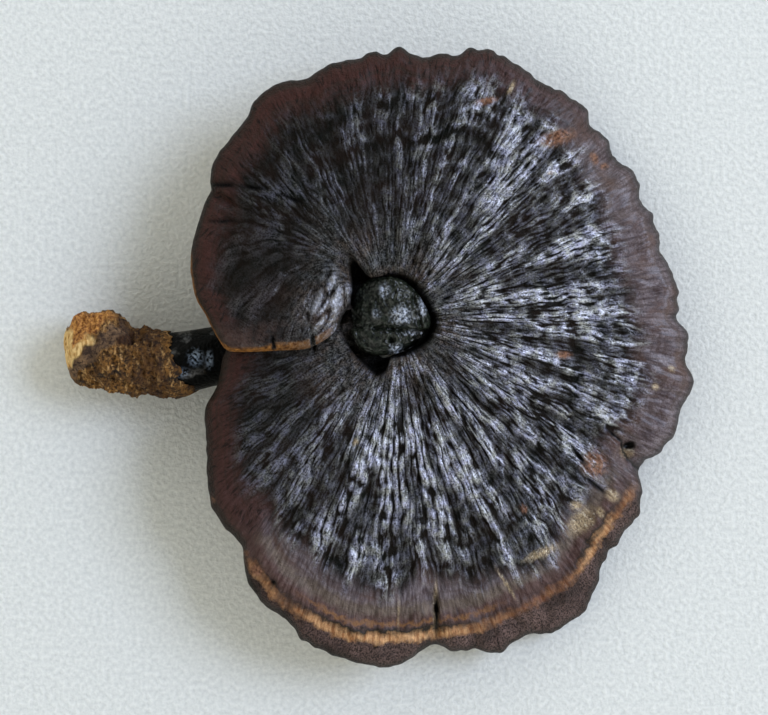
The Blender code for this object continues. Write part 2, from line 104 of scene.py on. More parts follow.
def fade(x):
    """1 at 0, falling smoothly to 0 at 1."""
    x = np.clip(x, 0, 1)
    return 1 - x * x * (3 - 2 * x)


def field(x, y, z):
    """Noise at the points, -0.7 to 0.7, in cells one unit across. A bare number for z picks a pattern."""
    x, y, z = np.broadcast_arrays(x, y, z)
    points = np.column_stack([x.ravel(), y.ravel(), z.ravel()]).tolist()
    return np.reshape([noise.noise(point) for point in points], x.shape)


def patches(x, y, rows):
    """Strength of oval patches, (x, y, half length, half width, strength), which fade out to their edges."""
    ovals = [strength * fade(np.hypot((x - at[0]) / at[2], (y - at[1]) / at[3])) for *at, strength in rows]
    return np.max(ovals, axis=0)


def stem_route():
    """Middles, across directions and radii of rings along the stem, from its start to the top of the knob."""
    out = np.array([math.cos(STEM_TURN), math.sin(STEM_TURN), 0])
    up = np.array([0, 0, 1.0])
    middles, across, radii = [], [], []
    for distance in np.linspace(STEM_START, BEND_RADIUS, LYING_STEPS):
        height = np.interp(distance, [BEND_RADIUS, STEM_START], [BEND_START_HEIGHT, STEM_LOW])
        middles.append(out * distance + up * height)
        across.append(up)
        radii.append(float(smooth_curve(STEM_THICKNESS, distance)))
    centre = out * BEND_RADIUS + up * (BEND_START_HEIGHT + BEND_RADIUS)
    for step in range(1, BEND_STEPS):
        bend = math.radians(90 * step / BEND_STEPS)
        radial = -up * math.cos(bend) - out * math.sin(bend)
        middles.append(centre + radial * BEND_RADIUS)
        across.append(-radial)
        radii.append(STEM_THICKNESS[0][1] + (KNOB[0][1] - STEM_THICKNESS[0][1]) * step / BEND_STEPS)
    steps = np.linspace(0, len(KNOB) - 1, STEM_STEPS - len(middles))
    for height, width in zip(*(np.interp(steps, range(len(KNOB)), column) for column in zip(*KNOB))):
        lean = np.array([*KNOB_LEAN, 0]) * (1 - fade(height / 2))
        middles.append(up * (BEND_START_HEIGHT + BEND_RADIUS + height) + lean)
        across.append(out)
        radii.append(width)
    return np.array(middles), np.array(across), np.array(radii)


def new_grid(name, columns, rows):
    """A flat grid with that many points each way, all edges in order, ready to be wrapped round a piece."""
    bpy.ops.object.select_all(action="DESELECT")
    bpy.ops.mesh.primitive_grid_add(x_subdivisions=columns - 1, y_subdivisions=rows - 1, size=1)
    made = bpy.context.object
    made.name = made.data.name = name
    return made


def wrap(piece, points):
    """Moves the grid's points to their places, joins its long edges and fills the holes at its two ends."""
    piece.data.vertices.foreach_set("co", ((points + HUB) * MM).astype(np.float32).ravel())
    piece.data.update()
    bpy.ops.object.mode_set(mode="EDIT")
    bpy.ops.mesh.select_all(action="SELECT")
    bpy.ops.mesh.remove_doubles(threshold=0.000002)
    bpy.ops.mesh.select_all(action="DESELECT")
    bpy.ops.mesh.select_mode(type="EDGE")
    bpy.ops.mesh.select_non_manifold()
    bpy.ops.mesh.fill()
    bpy.ops.mesh.select_all(action="SELECT")
    bpy.ops.mesh.normals_make_consistent(inside=False)
    bpy.ops.object.mode_set(mode="OBJECT")
    bpy.ops.object.shade_smooth()


def mark(piece, name, values):
    """Stores one number for each point of the piece, for its material to read."""
    layer = piece.data.attributes.new(name, "FLOAT", "POINT")
    layer.data.foreach_set("value", np.asarray(values, np.float32).ravel())


def finished(piece, slot, *nodes):
    """Puts the piece on the body that never moves, in place of its CAD node."""
    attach(piece, "root")
    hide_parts(*nodes)


def linear(code):
    """An sRGB hex colour as linear light."""
    parts = [int(code[i : i + 2], 16) / 255 for i in (1, 3, 5)]
    return (*(c / 12.92 if c <= 0.04045 else ((c + 0.055) / 1.055) ** 2.4 for c in parts), 1)


def plug(socket, value):
    """Sets a socket to a value or a hex colour, or links it to the output that feeds it."""
    if isinstance(value, bpy.types.NodeSocket):
        tree.links.new(value, socket)
    elif value is not None:
        socket.default_value = linear(value) if isinstance(value, str) else value


def add(kind, *inputs, output=None, **settings):
    """Adds a node with its settings and its inputs in order. Returns its first output, or the one named."""
    made = tree.nodes.new("ShaderNode" + kind)
    for name, value in settings.items():
        setattr(made, name, value)
    for socket, value in zip([socket for socket in made.inputs if socket.enabled], inputs):
        plug(socket, value)
    return made.outputs[output] if output else next(socket for socket in made.outputs if socket.enabled)


def painted(tone, *coats):
    """The tone under coats of paint. Each coat is the shares that say where it lies, and then its colour."""
    for *shares, colour in coats:
        where = shares[0]
        for share in shares[1:]:
            where = add("Math", where, share, operation="MULTIPLY")
        tone = add("Mix", where, tone, colour, data_type="RGBA")
    return tone


def mottled(pattern, low, high, first, second):
    """A colour that goes from the first to the second where the pattern goes from low to high."""
    return painted(first, (add("MapRange", pattern, low, high), second))


def engraved(*patterns):
    """The surface with fine relief over it, each as (its pattern, its strength, its depth in millimetres)."""
    normal = None
    for pattern, strength, depth in patterns:
        normal = add("Bump", strength, depth * MM, None, pattern, normal)
    return normal


def new_material(name):
    """A material with its plain shader, and its node tree."""
    made = bpy.data.materials.new(name)
    made.use_nodes = True
    return made, made.node_tree


def dress(piece, material, surface):
    """Plugs the surface's values and links into the material's shader, and lays the material on the piece."""
    for name, value in surface.items():
        plug(tree.nodes["Principled BSDF"].inputs[name], value)
    piece.data.materials.append(material)


middles, across, radii = stem_route()
sideways = np.array([-math.sin(STEM_TURN), math.cos(STEM_TURN), 0])
around = np.linspace(0, 2 * np.pi, STEM_SIDES + 1)
spokes = across[:, None] * np.cos(around)[None, :, None] + sideways * np.sin(around)[None, :, None]
lumps = field(*np.moveaxis(middles[:, None] / 9 + spokes * 0.9, 2, 0)) * 0.5
lumps += field(*np.moveaxis(middles[:, None] / 4 + spokes * 2, 2, 0)) * 0.2
body = middles[:, None] + spokes * (radii[:, None] + lumps * np.minimum(radii[:, None] / 3, 1))[..., None]
# The knob is a broken block: a ridge between two slopes, a crack across it and a lower step beyond that.
KNOB_STEP_AT = -1.9
KNOB_RIDGE = (8.9, 0.27)  # where the ridge meets the y axis, and how far it slants to the left
KNOB_RIGHT_SLOPE = [(0, 0), (3.4, -1.7), (3.8, -1.8), (4.2, -0.9), (8, -3.2)]  # (right of the ridge, height)
bent_steps = np.arange(STEM_STEPS)[:, None] - LYING_STEPS
knob = (1 - fade((body[..., 2] - KNOB_FOOT) / 3)) * (1 - fade((bent_steps - 25) / 20))
spread = body[..., :2] - middles[:, None, :2]
turned = np.degrees(np.arctan2(spread[..., 1], spread[..., 0])) % 360
turned = np.where(turned > KNOB_TURN_ENDS, turned - 360, turned)
body[..., :2] += spread * (knob * (smooth_curve(KNOB_OUTLINE, turned) - 1))[..., None]
x, y = body[..., 0], body[..., 1]
past_ridge = x - (KNOB_RIDGE[0] - y) * KNOB_RIDGE[1]
facets = np.where(past_ridge < 0, 0.26 * past_ridge, np.interp(past_ridge, *zip(*KNOB_RIGHT_SLOPE)))
step = 1 - fade((KNOB_STEP_AT - y) / 0.5)
facets = facets * (1 - step) + step * (-1.9 - 0.45 * np.clip(x - 0.5, 0, 5))
crack = np.exp(-(((y - KNOB_STEP_AT + 0.5 * field(x / 2, 0, 5.1)) / 0.5) ** 2))
crack *= fade((np.abs(x + 1.1) - 3.6) / 1.2)
hole = fade(np.hypot((x + 0.8) / 1.9, (y + 4.9) / 1.1))
splits = np.abs(field(x / 1.8, y / 5, 0.7)) * 0.9
lumps = 0.4 * field(x / 2.2, y / 1.8, 0.7) + 0.7 * np.abs(field(x, y / 1.5, 3.7))
lumps += 0.3 * field(x / 0.6, y / 0.6, 6.7)
body[..., 2] += knob * (facets + lumps + splits - 1.8 * crack - 1.6 * hole)
stem = new_grid("lacquered_stem", STEM_SIDES + 1, STEM_STEPS)
mark(stem, "dusted", patches(x, y, STEM_HIGHLIGHTS) * (1 - fade((body[..., 2] - 12) / 3)))
mark(stem, "knob_gloss_and_highlight", knob * np.clip(KNOB_SHEEN + 0.7 * patches(x, y, KNOB_HIGHLIGHTS), 0, 1))
wrap(stem, body.reshape(-1, 3))

# Black resin lacquer over wood: near black, dulled by dust, but glassy where it has been rubbed clean. The
# knob's broken top is greener, and pale painted highlights lie on it and on the stem where it leaves the cap.
lacquer, tree = new_material("black resin lacquer")
place = add("TexCoord", output="Object")
height = add("SeparateXYZ", place, output="Z")
mottle = add("TexNoise", place, 1 / (5 * MM), 5)
grain = add("TexNoise", place, 1 / (0.7 * MM), 3)
knob_gloss_and_highlight, dusted = (add("Attribute", output="Fac", attribute_name=name) for name in ("knob_gloss_and_highlight", "dusted"))
knob_tone = painted(
    mottled(grain, 0.35, 0.65, "#060806", "#252b22"),
    # pale painted highlights on the knob, where its coat also shines more
    (add("MapRange", knob_gloss_and_highlight, KNOB_SHEEN, 1), add("MapRange", grain, 0.44, 0.6, 0.1, 1), "#b3bccd"),
)
stem_tone = painted(
    mottled(mottle, 0.4, 0.7, "#020302", "#080806"),
    (add("MapRange", height, (KNOB_FOOT + 0.5) * MM, (KNOB_FOOT + 2.5) * MM), knob_tone),
    # pale painted highlights where the stem leaves the cap
    (dusted, add("MapRange", add("Mix", 0.75, mottle, grain), 0.44, 0.56), "#93a3b6"),
)
below_knob = add("MapRange", height, (KNOB_FOOT - 0.5) * MM, (KNOB_FOOT + 1.5) * MM, 1, 0)
shine_share = add("Math", add("MapRange", mottle, 0.56, 0.66, 0.03, 0.7), below_knob, operation="MULTIPLY")
shine_share = add("Math", shine_share, knob_gloss_and_highlight, operation="MAXIMUM")
shine_share = add("Math", shine_share, add("MapRange", grain, 0.42, 0.56, 0.35, 1), operation="MULTIPLY")
dress(stem, lacquer, {
    "Base Color": stem_tone,
    "Roughness": add("MapRange", mottle, 0.3, 0.7, 0.3, 0.5),
    "Normal": engraved((mottle, 0.6, 1.2), (grain, 1.0, 0.45)),
    "Coat Weight": shine_share,
    "IOR": 1.12,
    "Coat IOR": 1.8,
    "Coat Roughness": 0.27,
})
finished(stem, "stem_lacquer", "stem")


# The cap. Corky flesh that grew out ring by ring from the hub under a crust of dark resin, and dried. The
# crust shrank into forking wrinkles and a smooth maroon band. Its two ends closed round the knob and overlap.
TILT_SLOPE = 0.2  # rise of the underside for each millimetre to the left
TILT_TURN = math.radians(-6.1)  # direction of the fall
LEVEL_AT = 50.0  # distance along the fall at which the underside levels out
LEVEL_BLEND = 12.0
# The margin and the inner edge round the knob, as (angle, distance from the hub), clockwise from the seam of
# the upper lobe to the end of the lower lobe that lies hidden under it.
MARGIN = [
    (189.4, 41.5), (185, 43.0), (178.5, 45.5), (174.5, 47.8), (170, 49.5), (165.8, 50.8), (158, 52.3),
    (153.8, 52.8), (148, 53.9), (145, 54.2), (143, 55.9), (138, 58.2), (132, 59.2), (126.4, 60.5),
    (122.5, 63.0), (116, 63.9), (110, 62.4), (104.7, 64.0), (97.6, 64.3), (94.2, 65.6), (92.5, 65.0),
    (88.9, 66.7), (84.8, 65.0), (80, 66.4), (77, 67.0), (74, 69.8), (70, 70.9), (63, 69.9), (58.6, 69.6),
    (54.3, 70.6), (48.6, 71.6), (44.7, 69.4), (40.8, 70.6), (37, 68.8), (31.5, 70.8), (26, 68.6),
    (20, 69.7), (15.4, 68.7), (10.2, 70.6), (3.3, 71.1), (0.5, 70.7), (-3, 73.6), (-7.3, 73.1),
    (-11.3, 76.4), (-17.8, 74.8), (-22.7, 75.3), (-26.3, 73.6), (-31.2, 71.3), (-34, 74.4), (-38, 77.5),
    (-42.4, 77.9), (-48.9, 79.4), (-52, 83.3), (-56, 86.2), (-60.4, 87.6), (-65.5, 85.9), (-68.9, 84.9),
    (-72, 86.8), (-76.8, 83.6), (-80, 82.9), (-82.7, 80.6), (-87, 83.0), (-91, 85.3), (-96.3, 84.1),
    (-102.5, 82.3), (-106, 81.0), (-108.5, 78.0), (-113.4, 76.3), (-118.5, 73.5), (-121.4, 70.0),
    (-124.6, 66.0), (-130.2, 64.7), (-134.5, 63.2), (-139, 59.8), (-144.5, 55.9), (-149.7, 53.0),
    (-154.3, 51.0), (-160.8, 45.2), (-167, 42.9), (-171, 41.4), (-175.7, 40.5),
]
HUB_EDGE = [
    (189.6, 14.1), (176, 13.1), (161, 11.9), (146, 12.8), (135, 15.0), (128, 17.2), (124.5, 17.6),
    (122.0, 12.8), (118, 11.0), (108, 10.2), (92, 10.2), (79, 10.2), (62, 9.6), (47, 9.0), (32, 8.9),
    (20, 9.2), (0, 9.9), (-21, 9.7), (-42, 9.0), (-63, 8.4), (-84, 7.9), (-95, 8.2), (-101, 12.6),
    (-108, 13.8), (-123, 13.2), (-134, 12.8), (-149, 12.6), (-160, 12.8), (-172, 13.4),
]
# How far the upper lobe's edge bulges over the seam, as (share of the way out, millimetres).
SEAM_SWELL = [(0, 0), (0.1, 1.9), (0.28, 3.4), (0.5, 2.8), (0.75, 2.0), (0.95, 1.0), (1, 0)]
SEAM_SWELL_REACH = 24.0
# Heights over the underside plane, as (angle, at the hub, at the crown, place of the crown as a share of
# the way out, at the margin).
CROWN = [
    (-176, 12.0, 13.2, 0.20, 5.5), (-140, 12.0, 13.2, 0.22, 5.8), (-110, 12.0, 13.2, 0.45, 8.0),
    (-70, 12.0, 13.2, 0.52, 8.2), (0, 12.2, 13.0, 0.32, 7.6), (60, 12.0, 13.0, 0.34, 8.0),
    (100, 11.5, 13.2, 0.34, 7.4), (140, 11.5, 13.2, 0.22, 5.6), (190, 12.0, 13.2, 0.20, 5.5),
]
UNDERSIDE_HOLLOW = 1.2
HUB_WALL_RADIUS = 5.5
LEDGE = 2.0
HUB_ROUNDING = 2.6
FLANK_ROUNDING = 7.5  # the upper lobe slopes further down to the knob
FLANK = (150.0, 195.0)
RIM_ROUNDING = 4.2
SKIRT_ROUNDING = 8.0  # the rim is rolled further down along the bottom
SKIRT = (-118.0, -38.0)
NOSE_ROUNDING = 2.8  # the two ends of the strip at the seam
LOWER_LOBE_CROWN = 0.66  # share of the full height that is left at the seam
LOWER_LOBE_REACH = 34.0
LOBE_GAP = 0.8
UPPER_LOBE_EDGE = 5.0  # thickness of the upper lobe at the seam
UPPER_LOBE_REACH = 15.0
# Waves of the margin, as (middle, half width, rise), and broad rings, as (start, end, distance from the
# margin, half width, height), and creases of the rim, as (angle, length, half width, depth).
MARGIN_WAVES = [(38, 16, -3.7), (-6, 26, 0.9), (-55, 17, -2.6), (95, 26, 1.2), (-105, 24, 1.4)]
RINGS = [
    (-122.0, -34.0, 12.5, 2.6, -0.9),
    (-122.0, -34.0, 8.2, 2.0, 0.5),
    (-30.0, 60.0, 15.0, 3.0, -0.7),
    (60.0, 185.0, 8.0, 2.6, -0.5),
    (-48.0, 36.0, 31.0, 3.4, -0.8),
]
CREASES = [(-31.0, 9.0, 3.0, 1.2), (145.0, 9.0, 2.4, 1.6), (-82.7, 17.0, 2.2, 1.8), (37.0, 7.0, 3.0, 1.0)]
STEM_CLEARANCE = 0.9
CLOSING_STEPS = 12
EDGE_AT = 0.42  # share of the thickness at which the margin's edge lies
NOSE_LEAST = 0.14  # share of the thickness that is left at the very ends
# The crust round the cap, as (angle, height of its wrinkles, millimetres from ridge to ridge, width of the
# smooth band along the margin, shine, which also paints the crests pale as highlight, dust and painted sheen
# on the band).
CRUST = [
    (-176, 0.40, 1.2, 7, 0.12, 0), (-150, 0.45, 1.2, 8, 0.10, 0), (-128, 0.60, 1.3, 12, 0.3, 0.1),
    (-108, 0.95, 1.7, 18, 0.8, 0.4), (-88, 1.15, 1.9, 18.5, 1.0, 0.9), (-60, 1.15, 1.8, 17, 1.0, 1),
    (-42, 1.10, 1.4, 14, 0.8, 1), (-20, 1.05, 1.2, 12, 1.05, 1), (0, 1.05, 1.2, 13, 1.25, 1),
    (30, 1.10, 1.25, 11, 1.2, 1), (58, 1.15, 1.35, 7.5, 0.75, 0.3), (80, 0.95, 1.3, 8, 0.36, 0.05),
    (100, 0.80, 1.3, 8.5, 0.18, 0), (125, 0.80, 1.3, 8, 0.11, 0), (150, 0.85, 1.3, 7, 0.13, 0),
    (172, 0.80, 1.5, 6, 0.3, 0), (190, 0.80, 1.6, 6, 0.4, 0),
]
# Growth rings at which the wrinkles stop, as (start, end, distance from the margin, half width, depth).
STOPS = [
    (-122, -40, 19.5, 1.0, 0.35), (-115, -48, 29.5, 1.0, 0.3), (-110, -60, 41.0, 1.3, 0.25),
    (-45, 40, 30.0, 2.6, 0.35), (60, 110, 22.0, 1.4, 0.5), (95, 165, 13.0, 1.2, 0.3),
    (95, 165, 24.0, 1.2, 0.3),
]
# Growth rings that run right round, and hoops across the wrinkles, as (start, end) and their sizes.
RINGED, RING_SPACING = (-125, 110), 4.8
HOOPED, HOOP_WIDTH = (-125, 100), 1.5
# How strongly the margin is scalloped and the rim pleated, as (angle, share).
SCALLOP_DEPTH = 0.9
PLEATING = [(-176, 0.2), (-125, 0.5), (-60, 1), (0, 1), (60, 1), (95, 0.5), (130, 0.2), (190, 0.1)]
# The upper lobe's wrinkles run together at the top of the crevice, and bend on their way out.
LOBE_CENTRE = (-10.0, 16.5)
LOBE_SWIRL = 38.0  # degrees
LOBE_SPAN = 45.0
LOBE_START, LOBE_BLEND = 118, 30  # the angle from which they do, and the degrees over which it comes in
LOBE_MEETING = 133  # where both sets of wrinkles are in step
FLUTE_SLANT = 0.55  # slant of the flutes on the lobe's flank
# The edge of the bottom part, where it has grown over the right part, from its inner end to the margin.
FOLD = [
    (50.5, -26.0), (53.0, -27.6), (55.9, -30.1), (56.3, -32.4), (57.7, -34.6), (59.2, -35.9), (61.5, -38.0),
]
FOLD_DEPTH = 2.0
# Pits and cracks, as (x, y, half length, half width, degrees from +X, depth).
PITS = [
    (58.1, -30.8, 1.9, 0.8, 5, 1.8), (10.1, -70.5, 0.9, 0.8, 0, 1.2), (10.2, -72.0, 7.0, 0.55, 90, 0.9),
    (-29.0, -5.5, 2.4, 0.35, 95, 1.4), (-19.6, -5.6, 2.4, 0.42, 95, 2.4), (-41.6, 32.3, 4.2, 0.6, -2, 1.1),
    (-33.5, 31.5, 4.5, 0.45, -8, 0.8), (-24.5, 28.8, 4.0, 0.4, -22, 0.8), (-29.1, -63.0, 0.9, 0.8, 0, 0.8),
    (45.0, -33.0, 4.0, 0.5, -52, 1.0), (49.5, -40.5, 4.5, 0.5, -40, 1.0), (-41.5, 23.6, 5.0, 0.4, 2, 0.6),
]
# Stains and bare places of the crust, as (x, y, half length, half width, degrees from +X).
RUST_STAINS = [
    (39.9, 44.9, 4.6, 1.9, 17), (41.2, -8.4, 2.2, 0.9, 0), (31.5, -46.0, 0.9, 0.8, 0),
    (22.3, 53.4, 2.6, 0.9, 10), (49.5, 40.3, 1.1, 1.6, 20), (-33.2, -60.1, 1.9, 1.4, -30),
    (-44.1, -43.3, 0.9, 0.7, 0), (-36.1, -56.2, 0.9, 0.7, 0), (49.4, -35.3, 3.3, 3.2, 0),
    (52.0, 38.5, 1.2, 0.9, 0),
]
GOLD_STAINS = [
    (46.0, -49.5, 4.2, 2.4, 45), (53.6, -43.0, 1.4, 1.9, 60), (44.7, -45.5, 1.6, 1.1, 0),
    (50.6, -47.2, 1.0, 1.4, 20), (48.4, -49.5, 1.0, 1.0, 0), (57.5, -32.4, 1.6, 1.8, 40),
    (28.4, 56.8, 1.9, 0.5, 65), (38.1, 36.2, 0.7, 0.5, 30), (68.4, -11.8, 0.8, 0.8, 0),
    (64.3, -16.2, 0.9, 0.8, 0), (36.0, -57.0, 4.5, 1.0, 22), (-9.4, -29.3, 0.7, 0.7, 0),
    (10.0, -70.5, 6.5, 0.6, 90), (27.3, -64.6, 4.6, 0.3, -57), (1.0, -71.0, 4.5, 0.2, 90),
]
# The pale line along the bottom, as (angle, distance from the hub), how bright it is, and the angles
# between which it and a second line inside it run.
TAN_LINE = [
    (-120, 68.5), (-113, 72.5), (-105, 75.0), (-97, 77.5), (-83, 77.5), (-75, 78.0), (-66, 77.5),
    (-58, 77.5), (-53, 76.5), (-47, 74.0), (-38, 72.5),
]
TAN_BRIGHT = [
    (-122, 0.3), (-117, 0.6), (-110, 0.45), (-104, 0.8), (-98, 1), (-84, 1), (-76, 0.55), (-64, 0.2),
    (-56, 0.3), (-50, 0.85), (-45, 0.8), (-40, 0.4),
]
LINED = (-119, -38)
TWICE_LINED = (-104, -74)
UPPER_LIP = (166, 192)  # where the tan lip of the upper lobe runs on along its margin
# The mesh: columns round the cap, closer together at its two ends, and rows from the hub out over the top,
# closer together on the band, and back in along the underside.
COLUMNS = 900
BAND_WIDTH = 16.0
BAND_SHARE = 0.55
NOSE_COLUMNS = [0, 0.06, 0.2, 0.42, 0.72, 1.1, 1.55]  # millimetres of the margin from each end
NOSE_END = 2.0
TOP_ROWS = 94
INNER_ROWS = 61
UNDER_ROWS = [0.994, 0.985, 0.97, 0.94, 0.89, 0.8, 0.68, 0.55, 0.42, 0.3, 0.18, 0.08, 0]


def between(angle, start, end, soft=8.0):
    """1 from the start to the end, fading out over the soft degrees beyond them."""
    return fade((start - angle) / soft) * fade((angle - end) / soft)


def rounding(distance, radius):
    """Share of the full height at a distance in from a rounded edge."""
    return np.sqrt(np.clip(1 - np.clip(1 - distance / radius, 0, 1) ** 2, 0, 1))


def hump(distance, half_width):
    """1 at no distance, falling off to both sides."""
    return np.exp(-((distance / half_width) ** 2))


def polar(angle, radius):
    """The place at an angle and a distance from the hub."""
    return np.stack([radius * np.cos(np.radians(angle)), radius * np.sin(np.radians(angle))], -1)


def oval_axes(place, x, y, half_length, half_width, turn):
    """Distances along and across a turned oval, as shares of its half sizes."""
    along = polar(turn, 1)
    offset = place - np.array([x, y])
    return (offset @ along) / half_length, (offset @ np.array([-along[1], along[0]])) / half_width


def hub_angle_at(angle):
    """Angle on the inner edge that belongs to an angle on the margin."""
    return np.interp(angle, [MARGIN[-1][0], MARGIN[0][0]], [HUB_EDGE[-1][0], HUB_EDGE[0][0]])


def underside_plane(place):
    """Height of the tilted plane that the cap is built on, which levels out to the right."""
    left = LEVEL_AT - (place[..., 0] * math.cos(TILT_TURN) + place[..., 1] * math.sin(TILT_TURN))
    return TILT_SLOPE / 2 * (np.sqrt(left**2 + LEVEL_BLEND**2) + left)


def along_columns(place):
    """Distance from the first column, along each row."""
    steps = np.linalg.norm(np.diff(place, axis=0), axis=2)
    return np.concatenate([np.zeros((1, place.shape[1])), np.cumsum(steps, axis=0)])


def cap_crown(angle, share):
    """Height of the top over the underside plane, before any edge is rounded."""
    turns, *columns = zip(*CROWN)
    at_hub, at_top, top_at, at_margin = (np.interp(angle, turns, column) for column in columns)
    inner = at_hub + (at_top - at_hub) * np.sin(np.pi / 2 * np.clip(share / top_at, 0, 1))
    outer = np.clip((share - top_at) / (1 - top_at), 0, 1)
    return inner - (at_top - at_margin) * outer**1.6


def forking(pattern, across, spacing):
    """A pattern of strands, mixed from a finer and a coarser one, so that they fork and keep their width."""
    level = -np.log2(spacing)
    lower = np.floor(level)
    share = level - lower
    wide, narrow = (pattern(across * 2.0**octave, octave) for octave in (lower, lower + 1))
    return wide * (1 - share) + narrow * share


def ridges(across, spacing):
    """Rounded ridges, 0 to 1, with sharp valleys between them."""
    return forking(lambda place, octave: np.abs(np.sin(np.pi * place)) ** 0.75, across, spacing)


def strands(across, spacing, along, seed):
    """Noise in strands of that width."""
    return forking(lambda place, octave: field(place, along, seed + 7.3 * octave), across, spacing)


def cap_relief(angle, share, from_margin):
    """Broad radial folds, lumps, rings and creases of the top."""
    folds = field(angle / 4.6, share * 2.2, 3.1) * 0.8 + field(angle / 9.0, share * 1.6, 8.4) * 0.9
    folds = folds * (0.35 + 0.65 * between(angle, -115, 85, 25))
    relief = folds * fade((7 - from_margin) / 6) * fade((0.1 - share) / 0.1)
    relief += field(angle / 26.0, share * 3.0, 5.7) * 0.9 * fade((3 - from_margin) / 3)
    for start, end, distance, width, height in RINGS:
        relief += height * between(angle, start, end) * hump(from_margin - distance, width)
    for middle, length, half_width, depth in CREASES:
        cut = fade(np.abs(angle - middle) / half_width) * fade((from_margin - length * 0.6) / (length * 0.4))
        relief -= depth * cut
    return relief


def wrinkle_lines(angle, place, margin_arc, from_hub, fan):
    """Distance across the wrinkles, in millimetres of the margin, along them, and how far they fanned out."""
    offset = place - np.array(LOBE_CENTRE)
    away = np.linalg.norm(offset, axis=2)
    turn = np.degrees(np.arctan2(offset[..., 1], offset[..., 0])) % 360
    bent = turn - LOBE_SWIRL * np.clip(away / LOBE_SPAN, 0, 1) * (1 - fade((turn - 150) / 60))
    own = -np.radians(bent) * LOBE_SPAN
    share = 1 - fade((angle - LOBE_START) / LOBE_BLEND)
    off_meeting = np.abs(angle - LOBE_MEETING) + np.abs(away - LOBE_SPAN * 0.8)
    meeting = np.unravel_index(np.argmin(off_meeting), away.shape)
    own = own + margin_arc[meeting[0], 0] - own[meeting]
    own_fan = np.clip(away / LOBE_SPAN, 0.12, 1)
    return (
        margin_arc * (1 - share) + own * share,
        from_hub * (1 - share) + away * share,
        fan * (1 - share) + own_fan * share,
    )


def crust_at(angle, *columns):
    """Those columns of the crust's table at the angles."""
    return [smooth_curve([(row[0], row[column]) for row in CRUST], angle) for column in columns]


def cap_wrinkles(angle, share, place, from_margin, from_hub, fan, margin_arc):
    """Wrinkles of the dried crust, and the marks of its crests and of its glossy places."""
    strength, spacing, band = crust_at(angle, 1, 2, 3)
    past_band = from_margin - band + 2.5 * field(margin_arc / 2.4, from_margin / 9, 63.0)
    inside = (1 - fade((past_band + 4) / 8)) * (0.25 + 0.75 * (1 - fade((from_hub - 1.5) / 8)))
    # The wrinkles: ridges and valleys that fork, sway, start and stop, cut across by hoops and rings.
    lines, outward, fan = wrinkle_lines(angle, place, margin_arc, from_hub, fan)
    sway = field(lines / 9, outward / 8, 21.0) * 1.8 + field(lines / 3.5, outward / 4, 25.0) * 0.8
    across = lines + sway
    margin_spacing = spacing / fan
    length = np.clip(0.7 + 1.5 * strands(across, margin_spacing * 1.25, outward / 7, 33.0), 0.42, 1)
    cells = 1 - np.exp(-9 * np.abs(strands(across, margin_spacing * 1.1, outward / spacing / 5, 47.0)))
    hoops = np.clip(1.6 * field(from_margin / HOOP_WIDTH, margin_arc / 12, 29.0), 0, 1)
    hoops = hoops * between(angle, *HOOPED, 20)
    stop = np.ones(share.shape)
    for start, end, distance, half_width, depth in STOPS:
        stop -= depth * between(angle, start, end) * hump(from_margin - distance, half_width)
    wobble = 2.2 * field(margin_arc / 11, from_margin / 9, 41.0)
    swells = np.sin(2 * np.pi * (from_margin + wobble) / RING_SPACING) * between(angle, *RINGED, 20)
    broad = 0.6 * ridges(across, margin_spacing) * length + 0.4 * cells
    broad = broad * stop * (1 - 0.3 * hoops) * (0.86 + 0.14 * swells)
    thin = np.clip(0.5 + 1.6 * strands(across, margin_spacing / 2, outward / 2.2, 44.0), 0, 1)
    thin = thin * ridges(across + 0.4, margin_spacing / 2.3)
    crumbs = field(place[..., 0] / 1.5, place[..., 1] / 1.5, 53.0)
    groups = strands(across, margin_spacing * 2.1, outward / 16, 95.0) * 1.2
    profile = broad + 0.24 * thin + 0.14 * crumbs + 0.55 * groups
    height = inside * strength * (profile - 0.5 + 0.16 * swells) * (0.5 + 0.36 * spacing)
    crest = np.clip((broad + 0.3 * thin + 0.12 * crumbs - 0.18) / 0.66, 0, 1)
    # The band is pleated up to the rim, and the rolled skirt along the bottom is lumpy.
    pleats = ridges(across * 0.9, 3.0 / fan) * (0.6 + 0.8 * field(lines / 5, outward / 14, 61.0))
    pleats = 0.32 * (pleats - 0.6) + 0.35 * field(across / 1.3, outward / 5, 71.0)
    rim = fade((2.5 - from_margin) / 2.5) * (1 - fade((band - from_margin) / 3))
    height += rim * pleats * smooth_curve(PLEATING, angle)
    skirt = between(angle, *SKIRT, soft=14.0) * fade((from_margin - 8) / 2) * (1 - fade(from_margin / 2))
    height += skirt * 1.3 * strands(across, 3.5 / fan, outward / 6, 17.0)
    height += skirt * 0.5 * strands(across, 1.5 / fan, outward / 4, 19.0)
    # Round the knob the flesh is dry and crumbly, and the upper lobe's flank beside it is fluted aslant.
    dry = fade((from_hub - 4) / 9)
    height += dry * (field(place[..., 0] / 2.6, place[..., 1] / 2.6, 81.0) + 0.9 * crumbs)
    flank = between(angle, *FLANK, 16) * fade((from_hub - 7) / 4)
    aslant = place[..., 0] - FLUTE_SLANT * place[..., 1]
    slanted = 0.8 * (1 - np.exp(-4 * np.abs(field(aslant / 2.3, place[..., 1] / 7, 57.0))))
    slanted += 0.2 * np.abs(field(aslant / 0.7, place[..., 1] / 3, 58.0)) / 0.4
    height += flank * 1.5 * (slanted - 0.6)
    crest = crest + (slanted - crest) * flank
    gloss = np.clip(0.5 + 1.9 * groups + 0.5 * field(across / 6, outward / 9, 91.0), 0, 1)
    gloss = gloss * (0.5 + 0.5 * stop)
    height = height * fade((0.05 - share) / 0.05)
    return height, dict(crest=crest, lines=across, outward=outward, fan=fan, gloss=gloss)


